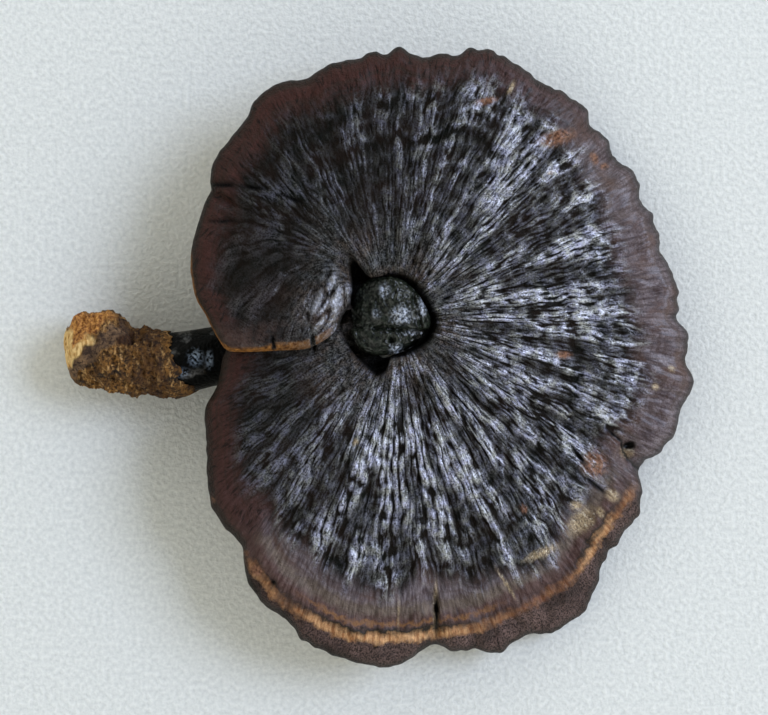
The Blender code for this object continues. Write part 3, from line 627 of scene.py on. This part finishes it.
def fold_step(place):
    """Drop of the right part where the bottom part has grown over it, and the crevice there, which is painted
    dark as shade.
    """
    nearest = np.full(place.shape[:2], 1e9)
    side = np.zeros(place.shape[:2])
    for start, end in zip(np.array(FOLD), np.array(FOLD)[1:]):
        along = end - start
        share = np.clip(((place - start) @ along) / (along @ along), 0, 1)
        offset = place - start - share[..., None] * along
        gap = np.linalg.norm(offset, axis=2)
        closer = gap < nearest
        nearest[closer] = gap[closer]
        side[closer] = np.sign(along[0] * offset[..., 1] - along[1] * offset[..., 0])[closer]
    reach = 1 - fade((place[..., 0] - 50.0) / 4)
    drop = -FOLD_DEPTH * reach * np.where(side > 0, np.exp(-nearest / 2.6), np.exp(-nearest / 0.3))
    return drop, reach * (side > 0) * fade((nearest - 0.3) / 0.7)


def pits(place):
    """Depth of the pits and cracks."""
    depth = np.zeros(place.shape[:2])
    for *oval, deep in PITS:
        along, across = oval_axes(place, *oval)
        depth += deep * fade(np.abs(along) ** 1.5) * hump(across, 1)
    return depth


def cap_sheets(angle, share, fine):
    """Places of the points, heights of the top and of the underside, and the marks that paint them."""
    scallops = field(angle / 2.3, 0.3, 7.7) + 0.4 * field(angle / 1.1, 0.3, 2.7)
    scallops = scallops * smooth_curve(PLEATING, angle)
    edge = polar(angle, smooth_curve(MARGIN, angle) + SCALLOP_DEPTH * scallops)[:, None]
    hub_angle = hub_angle_at(angle)
    hub = polar(hub_angle, smooth_curve(HUB_EDGE, hub_angle))[:, None]
    place = hub + (edge - hub) * share[..., None]
    reach_in = (1 - np.clip(along_columns(place) / SEAM_SWELL_REACH, 0, 1)) ** 2
    place[..., 1] -= smooth_curve(SEAM_SWELL, share) * reach_in
    reach = np.linalg.norm(edge - hub, axis=2)
    from_margin = (1 - share) * reach
    from_hub = share * reach
    from_upper = along_columns(place)
    from_lower = from_upper[-1:] - from_upper
    margin_arc = along_columns(edge)
    angle = angle[:, None] + 0 * share

    # The lower lobe thins out under the upper one, which is lifted over it.
    lower = fade(from_lower / LOWER_LOBE_REACH)
    shrink = 1 - (1 - LOWER_LOBE_CROWN) * lower
    lower_top = cap_crown(angle, share) * LOWER_LOBE_CROWN
    crown = cap_crown(angle, share) * shrink
    hollow = UNDERSIDE_HOLLOW * np.sin(np.pi * np.clip(share, 0, 1)) ** 0.7
    under = hollow + 0.6 * field(angle / 16.0, share * 3.0, 1.9) * np.sin(np.pi * share)
    upper = fade((from_upper - 4.0) / UPPER_LOBE_REACH)
    raised = lower_top + LOBE_GAP
    under = under + (raised - under) * upper
    crown = crown + np.maximum(raised + UPPER_LOBE_EDGE - crown, 0) * upper
    crown = crown + cap_relief(angle, share, from_margin) * (1 - 0.75 * lower) * (1 - 0.75 * upper)
    wrinkled = {name: 0 * share for name in ("crest", "lines", "outward", "fan", "gloss", "crack_shade")}
    if fine:
        fan = (np.linalg.norm(place, axis=2) / np.linalg.norm(edge, axis=2)).clip(0.12, 1)
        height, wrinkled = cap_wrinkles(angle, share, place, from_margin, from_hub, fan, margin_arc)
        drop, crevice = fold_step(place)
        hollow_depth = pits(place)
        crown = crown + height * (0.3 + 0.7 * (1 - fade((from_upper - 1) / 4))) + drop - hollow_depth
        # the fold's crevice, the cracks and the pits, painted dark as shade
        wrinkled["crack_shade"] = np.maximum(crevice, np.clip(hollow_depth / 0.7, 0, 1))

    # All edges are rounded, at the hub, along the margin and at the two ends.
    flank = between(angle, *FLANK, soft=20.0)
    hub_rounding = HUB_ROUNDING + (FLANK_ROUNDING - HUB_ROUNDING) * flank
    rim = RIM_ROUNDING + (SKIRT_ROUNDING - RIM_ROUNDING) * between(angle, *SKIRT, soft=14.0)
    nose = np.maximum(rounding(from_upper, NOSE_ROUNDING) * rounding(from_lower, NOSE_ROUNDING), NOSE_LEAST)
    middle = under + EDGE_AT * (crown - under)
    at_hub = 0.35 + 0.65 * rounding(from_hub, hub_rounding)
    top = middle + (crown - middle) * rounding(from_margin, rim) * nose * at_hub
    bottom = middle - (middle - under) * rounding(from_margin, RIM_ROUNDING * 0.75) * nose

    wave = 0 * angle
    for middle_angle, half_width, height in MARGIN_WAVES:
        wave += height * fade(np.abs(angle - middle_angle) / half_width)
    plane = underside_plane(place) + wave * share**3
    arc = margin_arc + 0 * share
    marks = dict(wrinkled, from_margin=from_margin, from_hub=from_hub, from_upper=from_upper, arc=arc)
    return place, np.maximum(plane + top, 0), np.maximum(plane + bottom, 0), marks


def keep_clear(points):
    """Moves points that lie inside the stem out to its skin: the flesh has grown round it."""
    flat = points.reshape(-1, 3)
    near = np.full(len(flat), 1e9)
    best = np.zeros(len(flat), int)
    # Every second ring of the stem is near enough, and the last ones, which close its top, are left out.
    for i in range(0, STEM_STEPS - CLOSING_STEPS, 2):
        gap = np.linalg.norm(flat - middles[i], axis=1)
        closer = gap < near
        near[closer] = gap[closer]
        best[closer] = i
    need = radii[best] + STEM_CLEARANCE
    inside = near < need
    push = (flat - middles[best]) * (need / np.maximum(near, 0.5))[:, None] + middles[best]
    flat[inside] = push[inside]
    flat[:, 2] = np.maximum(flat[:, 2], 0)
    return flat.reshape(points.shape)


# The columns stand at even steps along the margin, which is measured in many small steps.
fine_angle = np.linspace(MARGIN[0][0], MARGIN[-1][0], 6000)
fine_line = polar(fine_angle, smooth_curve(MARGIN, fine_angle))
length = np.concatenate([[0], np.cumsum(np.linalg.norm(np.diff(fine_line, axis=0), axis=1))])
ends = np.array(NOSE_COLUMNS)
inner = np.linspace(NOSE_END, length[-1] - NOSE_END, COLUMNS - 2 * len(ends))
angle = np.interp(np.concatenate([ends, inner, length[-1] - ends[::-1]]), length, fine_angle)
edge = smooth_curve(MARGIN, angle)
hub_angle = hub_angle_at(angle)
hub_radius = smooth_curve(HUB_EDGE, hub_angle)
band = np.minimum(BAND_WIDTH / (edge - hub_radius), BAND_SHARE)[:, None]
inner_rows = np.linspace(0, 1, INNER_ROWS + 1)[:-1] ** 0.9 * (1 - band)
outer_rows = 1 - band * np.linspace(1, 0, TOP_ROWS - INNER_ROWS) ** 1.25
top_share = np.hstack([inner_rows, outer_rows])
under_share = np.tile(UNDER_ROWS, (COLUMNS, 1))
top_place, top, _, top_marks = cap_sheets(angle, top_share, True)
under_place, _, under, under_marks = cap_sheets(angle, under_share, False)
# The wall between the two sheets at the hub. Under the upper lobe it stands off, down to a ledge on the stem.
inward = fade((angle - 150) / 20)
wall = polar(hub_angle, (hub_radius - 0.3) * (1 - inward) + HUB_WALL_RADIUS * inward)
brink = polar(hub_angle, hub_radius - 0.5)
under[:, -1] += (underside_plane(under_place[:, -1]) - under[:, -1]) * inward
thickness = top[:, 0] - under[:, -1]
corners = []
for place, share, depth in ((wall, 0.1, 0), (wall, 0.35, LEDGE * 0.8), (brink, 0.6, LEDGE)):
    short = under[:, -1] + share * thickness
    deep = np.maximum(underside_plane(place) + depth, 0)
    corners.append(np.column_stack([place, short + (deep - short) * inward]))
sheets = np.dstack([top_place, top]), np.dstack([under_place, under]), np.stack(corners, 1)
rings = keep_clear(np.concatenate(sheets, axis=1))
rings = np.concatenate([rings, rings[:, :1]], axis=1)
rows = rings.shape[1]
cap = new_grid("wrinkled_cap", COLUMNS, rows)
marks = {}
for name in top_marks:
    corner = np.repeat(under_marks[name][:, -1:], len(corners), axis=1)
    marks[name] = np.concatenate([top_marks[name], under_marks[name], corner, top_marks[name][:, :1]], axis=1)
# Marks that paint the cap.
pores = np.zeros((COLUMNS, rows))
pores[:, TOP_ROWS + 1 : -len(corners) - 1] = 1
marks["pores"] = pores
x, y = rings[..., 0], rings[..., 1]
turn = angle[:, None] + 0 * x
band_width, shine, dust = crust_at(turn, 3, 4, 5)
fraying = 2.5 * field(marks["arc"] / 1.6, marks["from_margin"] / 9, 64.0)
marks["band"] = fade((marks["from_margin"] - band_width + fraying + 4) / 8)
flank = between(turn, *FLANK, 16) * fade((marks["from_hub"] - 5) / 4)
marks["shine"] = np.maximum(shine, flank)
marks["gloss"] = np.maximum(marks["gloss"], flank)
marks["dust"] = dust
marks["lobe"] = (1 - fade((turn - 135) / 25)) * (1 - flank)
# The crests of the upper lobe's flank, where painted highlight lies and the coat shines more.
marks["flank"] = flank * np.clip(1.9 * marks["crest"] ** 2 - 0.35, 0, 1)
for name, stains in (("rust", RUST_STAINS), ("gold", GOLD_STAINS)):
    marks[name] = np.zeros(x.shape)
    for stain in stains:
        strength = np.clip(1.5 * fade(np.hypot(*oval_axes(rings[..., :2], *stain)) / 1.45), 0, 1)
        marks[name] = np.maximum(marks[name], strength * (1 - pores))
marks["past_line"] = np.where(pores > 0, 20, np.hypot(x, y) - smooth_curve(TAN_LINE, turn))
marks["lined"] = between(turn, *LINED, 6) * (1 - pores)
marks["twice"] = between(turn, *TWICE_LINED, 8)
marks["bright"] = smooth_curve(TAN_BRIGHT, turn)
inward_share = marks["from_hub"] / (marks["from_hub"] + marks["from_margin"])
strip = 0.7 + 0.9 * fade((inward_share - 0.5) / 0.16) + 1.2 * fade(np.abs(inward_share - 0.97) / 0.07)
marks["tan"] = fade((marks["from_upper"] - strip) / 0.6) * (1 - fade((marks["from_hub"] - 0.6) / 2))
upper_rim = 0.8 * fade((marks["from_margin"] - 0.2) / 0.7) * between(turn, *UPPER_LIP, 6)
marks["tan"] = np.maximum(marks["tan"], upper_rim) * (1 - pores)
marks["seam"] = fade((marks.pop("from_upper") - 5) / 4) * (1 - pores)
for name, values in marks.items():
    mark(cap, name, np.swapaxes(values, 0, 1))
wrap(cap, np.swapaxes(rings, 0, 1).reshape(-1, 3))

# Dried resin crust over cork: satin and almost black inside, with paler dry crests that carry painted
# highlight where they shine, and maroon along the margin. The pore side is dull and tan. Its pores, really
# about 0.2 mm, are drawn coarser so that they show, and so is the grain.
crust, tree = new_material("dried resin crust")
place = add("TexCoord", output="Object")
on = {name: add("Attribute", output="Fac", attribute_name=name) for name in marks}
mottle = add("TexNoise", place, 1 / (9 * MM), 6, 0.65)
hue = add("TexNoise", place, 1 / (2.6 * MM), 3, 0.7)
wear = add("TexNoise", place, 1 / (2.5 * MM), 4)
waver = add("TexNoise", place, 1 / (2.2 * MM), 4, 0.6)
fleck = add("TexNoise", place, 1 / (1.1 * MM), 4, 0.6)
pebble = add("TexNoise", place, 1 / (0.75 * MM), 2)
grain = add("TexNoise", place, 1 / (0.42 * MM), 1)
pore = add("TexVoronoi", place, 1 / (0.55 * MM))


def threads(widths, length):
    """Noise in threads along the wrinkles, of the first width round the hub and of the second further out."""
    patterns = []
    for width in widths:
        across = add("Math", on["lines"], width, operation="DIVIDE")
        along = add("Math", on["outward"], length, operation="DIVIDE")
        patterns.append(add("TexNoise", add("CombineXYZ", across, along), 1, 3, 0.6))
    return add("Mix", add("MapRange", on["fan"], 0.3, 0.75), *patterns)


def band_noise(along, inward, detail):
    """Noise with that many cells to the millimetre along the margin and in from it."""
    along = add("Math", on["arc"], along, operation="MULTIPLY")
    inward = add("Math", on["from_margin"], inward, operation="MULTIPLY")
    return add("TexNoise", add("CombineXYZ", along, inward), 1, detail)


streak = threads((1.5, 0.75), 3.0)
speck = add("Mix", add("MapRange", on["from_hub"], 4, 20, 0.8, 0.5), threads((0.8, 0.42), 0.9), grain)
fibres = add("Mix", 0.5, streak, speck)
band_streak = band_noise(1.1, 0.25, 4)
ring = band_noise(0.03, 0.8, 3)
# Inside: black, brown and green black, with crests that are dusty and carry painted highlight where the
# wrinkles shine.
raised = add("Math", add("MapRange", on["crest"], 0.25, 0.8), add("MapRange", fibres, 0.43, 0.55, 0.05, 1),
             operation="MULTIPLY")
# the pale crest tone follows the shine: dust, and painted highlight on the side facing the light
shine_share = add("Math", on["shine"], add("MapRange", on["lobe"], 0, 1, 1, 0.4), operation="MULTIPLY")
shine_share = add("Math", shine_share, on["flank"], operation="MAXIMUM")
dust_tone = painted(mottled(hue, 0.4, 0.6, "#b1b4b0", "#bcbfdc"), (on["lobe"], "#9a909c"))
inner_tone = painted(
    mottled(mottle, 0.35, 0.65, "#060905", "#1a110c"),
    (raised, 0.6, "#262523"),
    # pale crests: dust, and painted highlight where they shine
    (raised, shine_share, add("MapRange", on["gloss"], 0.2, 0.85, 0.16, 1), dust_tone),
    # painted highlight on the crests of the upper lobe's flank
    (on["flank"], "#d0d6e6"),
)
# The band along the margin: maroon, and along the bottom and the right a pale bloom lies on it, with painted
# sheen where the band slopes to the light.
bloom_and_sheen = painted(
    mottled(band_streak, 0.35, 0.65, "#453a3d", "#80767a"),
    (add("MapRange", ring, 0.45, 0.6, 0, 0.6), "#4e3f3d"),
    (add("MapRange", mottle, 0.48, 0.62, 0, 0.7), "#5f483f"),
)
# Along the bottom the band is ringed: olive, maroon, a thin dark ring, an orange one, and a dark brown rim.
past = add("Math", on["past_line"], add("MapRange", waver, 0.3, 0.7, -0.8, 0.8), operation="ADD")
olive = mottled(band_streak, 0.35, 0.65, "#4d423b", "#776a61")
olive = painted(olive, (add("MapRange", past, -9.5, -7.5, 1, 0), bloom_and_sheen))
orange = painted("#6e4229", (on["bright"], mottled(band_streak, 0.35, 0.65, "#94633d", "#dcae7e")))
worn = add("MapRange", add("Mix", 0.5, add("MapRange", wear, 0.35, 0.6), on["bright"]), 0.15, 0.8, 0.2, 1)
skirt_tone = painted(
    "#221815",
    # lighter where the band's dust and painted sheen lie
    (add("MapRange", speck, 0.4, 0.56), painted("#3a2a26", (on["dust"], "#705b55"))),
    (add("MapRange", mottle, 0.42, 0.6, 0, 0.7), "#241c19"),
)
ringed = painted(
    olive,
    (add("MapRange", past, -6.5, -4.5), mottled(band_streak, 0.35, 0.65, "#43302c", "#634f4b")),
    (add("MapRange", past, -4.5, -3.8), add("MapRange", past, -2.9, -3.5), on["twice"], worn, "#7a583c"),
    (add("MapRange", past, -3.0, -2.0), on["bright"], "#23211b"),
    (add("MapRange", past, 0.3, 0.9), skirt_tone),
    (add("MapRange", past, -2.0, -0.3), add("MapRange", past, 1.6, 0.3), worn, orange),
)
band_tone = painted(
    mottled(band_streak, 0.3, 0.7, "#33201b", "#462c27"),
    (add("MapRange", ring, 0.45, 0.7, 0, 0.6), "#2a261f"),
    (on["dust"], add("MapRange", speck, 0.38, 0.55, 0.5, 1), bloom_and_sheen),
    (add("MapRange", streak, 0.36, 0.45, 0.8, 0), add("MapRange", on["dust"], 0, 1, 1, 0.3), "#14110f"),
    (on["lined"], ringed),
)
# Rust stains, bare golden cork, the brown seam, cracks painted black as shade, the rim darkened by painted
# shade, and the upper lobe's tan lip.
ragged = add("MapRange", fleck, 0.3, 0.45, 0.7, 1)
gold = mottled(band_streak, 0.35, 0.65, "#927f64", "#cbb694")
gold = painted(gold, (add("MapRange", pebble, 0.58, 0.66), "#dccfb4"))
uncracked = add("MapRange", on["crack_shade"], 0.1, 0.6, 1, 0)
stained_tone = painted(
    inner_tone,
    (on["band"], band_tone),
    (on["rust"], ragged, mottled(pebble, 0.35, 0.65, "#4d3224", "#8f6750")),
    (on["gold"], ragged, add("MapRange", speck, 0.38, 0.58, 0.3, 1), gold),
    (on["seam"], add("MapRange", fleck, 0.35, 0.55, 0.2, 0.9),
     mottled(mottle, 0.4, 0.6, "#231a18", "#4a3b36")),
    # painted shade in the cracks, pits and the fold's crevice
    (on["crack_shade"], "#070605"),
    # painted shade along the rim where it rolls down
    (add("MapRange", on["from_margin"], 0.6, 2.4, 1, 0), 0.65, "#191d16"),
    (on["tan"], add("MapRange", band_streak, 0.25, 0.55, 0.55, 1), uncracked,
     mottled(fleck, 0.35, 0.65, "#4a2c14", "#a37038")),
)
# The dry grey flesh round the knob, painted shade in the gap beside it, and the pore side, drawn dark round
# the stem.
hub_dry = add("MapRange", on["from_hub"], 4, 17, 0.8, 0)
dry_flesh = mottled(mottle, 0.4, 0.6, "#6e706f", "#685a50")
dry_flesh = painted("#1a1a18", (add("MapRange", fibres, 0.42, 0.58), dry_flesh))
pore_tone = painted(
    mottled(mottle, 0.3, 0.7, "#7a6346", "#957c5a"),
    (add("MapRange", pore, 0.1, 0.45, 0.55, 0), "#3d2c1c"),
    (add("MapRange", on["from_hub"], 2, 10, 0.95, 0), "#0c0a08"),
)
cap_tone = painted(
    stained_tone,
    (hub_dry, add("MapRange", fleck, 0.35, 0.6), dry_flesh),
    # painted shade on the cap's inner edge, in the gap round the knob
    (add("MapRange", on["from_hub"], -0.5, 0.6, 1, 0), "#060605"),
    (on["pores"], pore_tone),
)
# Dull where it is dusty and dry. The coat of resin shines on the crests, between the dust, and in patches.
rough = add("Mix", on["band"], add("MapRange", on["shine"], 0, 1, 0.5, 0.35), 0.46)
rough = add("Math", rough, add("MapRange", fleck, 0.3, 0.7, -0.04, 0.08), operation="ADD")
rough = add("Math", rough, add("Math", hub_dry, 0.2, operation="MULTIPLY"), operation="ADD")
rough = add("Math", rough, add("MapRange", on["pores"], 0, 1, 0, 0.85), operation="MAXIMUM")
gloss = add("MapRange", on["shine"], 0, 1, 0.04, 1)
for operation, share in (
    ("MULTIPLY", add("MapRange", on["gloss"], 0.1, 0.8, 0.25, 1)),
    ("MULTIPLY", add("MapRange", on["crest"], 0.25, 0.75, 0.02, 1)),
    ("MULTIPLY", add("MapRange", speck, 0.42, 0.54, 0.2, 1)),
    ("MULTIPLY", add("MapRange", on["from_hub"], 3, 12, 0.25, 1)),
    ("MAXIMUM", on["flank"]),
    ("MULTIPLY", uncracked),
):
    gloss = add("Math", gloss, share, operation=operation)
band_gloss = add("MapRange", on["dust"], 0, 1, 0.02, 0.16)
band_gloss = add("Math", band_gloss, add("MapRange", on["lined"], 0, 1, 1, 0.25), operation="MULTIPLY")
gloss = add("Mix", on["band"], gloss, band_gloss)
dress(cap, crust, {
    "Base Color": cap_tone,
    "Roughness": rough,
    "Normal": engraved((streak, 0.7, 0.35), (fleck, 1.0, 0.5), (pebble, 1.0, 0.4),
                       (speck, add("MapRange", on["flank"], 0, 0.6, 1, 0.4), 0.3)),
    "Coat Weight": add("Math", gloss, add("MapRange", on["pores"], 0, 1, 1, 0), operation="MULTIPLY"),
    "IOR": 1.15,
    "Coat IOR": 2.0,
    "Coat Roughness": 0.3,
})
finished(cap, "cap_skin", "cap")


# The base. The lump of root, bark and earth at the stem's lower end, torn from the wood it grew on: brown
# fibres and crumbs, with a pale broken face at its far end. It clings to the stem's end.
# Rings along the lump, as (distance from the hub, shift to the side, height, half width, half height).
BASE_RINGS = [
    (57.3, 0.5, 9.0, 8.6, 8.6), (59.0, 1.2, 8.9, 8.7, 8.7), (61.0, 1.9, 8.6, 8.9, 8.8),
    (63.0, 2.1, 8.5, 8.6, 8.9), (64.4, 2.1, 8.4, 8.3, 9.0), (66.2, 3.9, 8.4, 9.7, 9.6),
    (68.2, 5.4, 8.5, 10.3, 10.0), (70.7, 6.2, 8.4, 10.1, 9.9), (73.7, 6.9, 8.3, 9.1, 9.6),
    (76.4, 7.1, 8.2, 8.4, 9.2), (78.6, 7.2, 8.0, 7.6, 8.2), (80.4, 6.6, 8.0, 6.2, 6.6),
    (81.1, 6.2, 8.0, 4.9, 5.2), (81.3, 6.0, 8.0, 0.0, 0.0),
]
BASE_STEPS = 150
COLLAR_FIT = 0.12
COLLAR_THICKNESS = 0.5
COLLAR_LENGTH = 3.4  # how far the crumbs run up the stem, on average
LEDGE_ENDS = ((-79.4, -9.2), (-73.4, -3.9))  # pale edge of the broken wood, as it is seen from above
out = np.array([math.cos(STEM_TURN), math.sin(STEM_TURN), 0])
up = np.array([0, 0, 1.0])
# The collar: its inner wall lies on the stem's skin up to a ragged lip, and its outer wall turns back there.
lip = COLLAR_LENGTH + 1.6 * np.sin(around) + 2.2 * field(np.cos(around) * 2, np.sin(around) * 2, 4.4)
lip += 1.8 * np.abs(field(np.cos(around) * 7, np.sin(around) * 7, 6.6))
row_distance = np.linspace(STEM_START, BEND_RADIUS, LYING_STEPS)
collar = []
# Both walls, as (share of the way to the lip, gap to the stem's skin).
inner_wall = [(0, -1.5)] + [(k / 7, COLLAR_FIT) for k in range(8)]
outer_wall = [(1 - k / 7, COLLAR_FIT + COLLAR_THICKNESS * min(1, 0.4 + 0.3 * k)) for k in range(7)]
for reach, lift in inner_wall + outer_wall:
    row = np.interp(STEM_START - 0.05 - reach * lip, row_distance[::-1], np.arange(LYING_STEPS)[::-1])
    low = np.floor(row).astype(int)
    part = (row - low)[:, None]
    sides = np.arange(STEM_SIDES + 1)
    skin = body[low, sides] * (1 - part) + body[low + 1, sides] * part
    axis = middles[low] * (1 - part) + middles[low + 1] * part
    spoke = skin - axis
    length = np.linalg.norm(spoke, axis=1, keepdims=True)
    collar.append(axis + spoke * (1 + lift / length))
collar = np.array(collar)
outside = collar[len(inner_wall) :]
outside += (outside - middles[0]) * 0.02 * field(*np.moveaxis(outside / 0.8, 2, 0))[..., None]
# The lump: its rings are joined, and crumbs of three sizes swell it.
steps = np.linspace(0, len(BASE_RINGS) - 1, BASE_STEPS)
ring_values = np.stack([np.interp(steps, range(len(BASE_RINGS)), column) for column in zip(*BASE_RINGS)], -1)
spokes = up * (np.cos(around)[None] * ring_values[:, 4][:, None])[..., None]
spokes = spokes + sideways * (np.sin(around)[None] * ring_values[:, 3][:, None])[..., None]
lump = ring_values[:, :3] @ np.array([out, -sideways, up])
lump = lump[:, None] + spokes
unit = spokes / np.maximum(np.linalg.norm(spokes, axis=2, keepdims=True), 0.01)
warp = lump + 1.2 * np.stack([field(*np.moveaxis(lump / 2.5 + k * 9, 2, 0)) for k in range(3)], -1)
swell = field(*np.moveaxis(warp / 3.8, 2, 0)) * 1.5
swell += 0.5 - np.abs(field(*np.moveaxis(warp / 1.9 + 5, 2, 0))) * 1.9
swell += field(*np.moveaxis(warp / 0.75 + 9, 2, 0)) * 0.5
# Seen from above: the broken wood stands high, and a smooth grey root runs below its pale edge to the tip.
x, y, z = np.moveaxis(lump, 2, 0)
first, second = np.array(LEDGE_ENDS)
ledge_line = (second - first) / np.linalg.norm(second - first)
along = (x - first[0]) * ledge_line[0] + (y - first[1]) * ledge_line[1]
below = (x - first[0]) * ledge_line[1] - (y - first[1]) * ledge_line[0] + 1.3 * field(x / 2.4, y / 2.4, 8.8)
on_top = 1 - fade((z - 8) / 5)
in_reach = fade((along - 13) / 4) * on_top
grey = fade((np.abs(below - 2.5 - 0.9 * field(x / 1.5, y / 1.5, 3.3)) - 1.3) / 0.9) * in_reach
pale = fade((np.abs(below - 0.1) - 0.4) / 0.6) * fade((np.abs(along - 3.8) - 3.2) / 1.5) * on_top
broken = fade((x + 79.0 + 0.6 * field(y / 1.5, z / 1.5, 2.2)) / 0.8)
broken = broken * fade(y + 3.2) * fade(-11.0 - y)
pale = np.maximum(pale, broken * (1 - fade((z - 4) / 3)))
rusty = fade((below + 0.8) / 0.8) * in_reach * fade((-79.5 - x) / 1)
shaded = fade((-67.2 - x) / 1.5) * fade(x + 64.4) * (1 - fade((y + 7) / 2)) * on_top
near_stem = 1 - fade((x + 67 + 3 * field(x / 3, y / 3, 1.3)) / 7)
shaded = np.maximum(shaded, 0.6 * near_stem)
swell += 0.7 * rusty - 0.9 * shaded - 0.5 * fade(np.abs(below - 1.0) / 0.6) * in_reach
swell = swell * (1 - 0.7 * np.maximum(grey, 0.6 * pale))
grow = np.minimum(ring_values[:, 3] / 4, 1)[:, None] * np.minimum(np.arange(BASE_STEPS) / 12, 1)[:, None]
lump = lump + unit * (swell * grow)[..., None]
lump = np.concatenate([collar, lump])
lump[..., 2] = np.maximum(lump[..., 2], 0)
base = new_grid("root_lump", STEM_SIDES + 1, len(lump))
base_marks = dict(pale=pale, grey=grey, rusty=rusty, shaded=shaded)
for name, values in base_marks.items():
    mark(base, name, np.concatenate([np.zeros((len(collar), STEM_SIDES + 1)), values]))
wrap(base, lump.reshape(-1, 3))

# Rotten root wood with earth in it: rusty crumbs, brown fibres, a smooth grey root and pale fresh wood.
earth, tree = new_material("root wood and earth")
place = add("TexCoord", output="Object")
on = {name: add("Attribute", output="Fac", attribute_name=name) for name in base_marks}
clump = add("TexNoise", place, 1 / (3 * MM), 6, 0.7)
crumb = add("TexNoise", place, 1 / (0.8 * MM), 5, 0.7)
along_fibres = add("Mapping", place, None, (0, 0, 0.5), (1, 0.3, 1))
strand = add("TexNoise", along_fibres, 1 / MM, 5, 0.6, None, 0.6)
root = mottled(clump, 0.38, 0.62, "#36251a", "#82664a")
root = painted(root, (add("MapRange", crumb, 0.4, 0.5, 1, 0), "#2b1c14"))
dress(base, earth, {
    "Base Color": painted(
        mottled(clump, 0.38, 0.62, "#33200f", "#8a602c"),
        (add("MapRange", strand, 0.52, 0.64, 0, 0.9), "#c49a60"),
        (add("MapRange", crumb, 0.4, 0.52, 0.92, 0), "#1c1008"),
        (add("MapRange", clump, 0.36, 0.43, 0.85, 0), "#140c06"),
        (on["rusty"], mottled(crumb, 0.4, 0.62, "#6b3a16", "#d0954e")),
        (on["shaded"], mottled(crumb, 0.4, 0.65, "#2a170c", "#4a2f17")),
        (on["grey"], root),
        (on["pale"], mottled(strand, 0.35, 0.6, "#a8762f", "#f0cf8e")),
    ),
    "Roughness": add("MapRange", clump, 0.3, 0.7, 0.7, 0.95),
    "Normal": engraved((strand, 0.8, 0.5), (crumb, 0.8, 0.5)),
    "IOR": 1.35,
})
finished(base, "base_earth", "base")


# The table, the light and the camera. Pale rough paper lies under a soft window at the right, and the
# camera looks straight down on it.
bpy.ops.object.select_all(action="DESELECT")
bpy.ops.mesh.primitive_plane_add(size=4, location=(0, 0, 0))
floor = bpy.context.object
floor.name = "floor"
paper, tree = new_material("pale paper")
fibre = add("TexNoise", add("TexCoord", output="Object"), 1 / (1.1 * MM), 4)
dress(floor, paper, {
    "Base Color": mottled(fibre, 0.3, 0.7, "#d2d5d1", "#e9ebe6"),
    "Roughness": 0.9,
    "Normal": engraved((fibre, 0.6, 0.5)),
})

CAMERA_HEIGHT = 0.52
CAMERA_AIM = (-2.65, -9.04)  # from the hub, mm
SENSOR = 36.0
SHARP_AT = 20  # height over the table at which the picture's width is measured, mm
PICTURE_WIDTH = 768
PIXEL_SIZE = 0.242  # mm at that height
lens = bpy.data.cameras.new("camera")
lens.sensor_width = SENSOR
lens.lens = SENSOR * (CAMERA_HEIGHT - SHARP_AT * MM) / (PICTURE_WIDTH * PIXEL_SIZE * MM)
lens.clip_start = 0.01
camera = bpy.data.objects.new("camera", lens)
camera.location = ((HUB[0] + CAMERA_AIM[0]) * MM, (HUB[1] + CAMERA_AIM[1]) * MM, CAMERA_HEIGHT)
bpy.context.scene.collection.objects.link(camera)
bpy.context.scene.camera = camera

WINDOW_FROM = Vector((2.24, 0.9, 2.16))
window = bpy.data.lights.new("window", "AREA")
window.shape = "RECTANGLE"
window.size = 1.8
window.size_y = 1.2
window.energy = 71
window.color = (0.64, 0.74, 1.0)
window_object = bpy.data.objects.new("window", window)
window_object.location = WINDOW_FROM
window_object.rotation_euler = (-WINDOW_FROM).to_track_quat("-Z", "Y").to_euler()
bpy.context.scene.collection.objects.link(window_object)
# The room: bright low down, darker overhead and just over the table, and a little brighter to the right.
room = bpy.data.worlds.new("room")
room.use_nodes = True
tree = room.node_tree
direction = add("TexCoord", output="Generated")
rise = add("SeparateXYZ", direction, output="Z")
light = add("Math", add("MapRange", rise, 0.4, 0.8, 1.22, 0.12), add("MapRange", rise, 0.05, 0.3, 0.25, 1),
            operation="MULTIPLY")
from_right = add("MapRange", add("SeparateXYZ", direction), -0.6, 0.9, 1.36, 1.56)
plug(tree.nodes["Background"].inputs["Color"], (1.0, 1.0, 0.94, 1))
plug(tree.nodes["Background"].inputs["Strength"], add("Math", light, from_right, operation="MULTIPLY"))
bpy.context.scene.world = room
bpy.context.scene.view_settings.view_transform = "Standard"
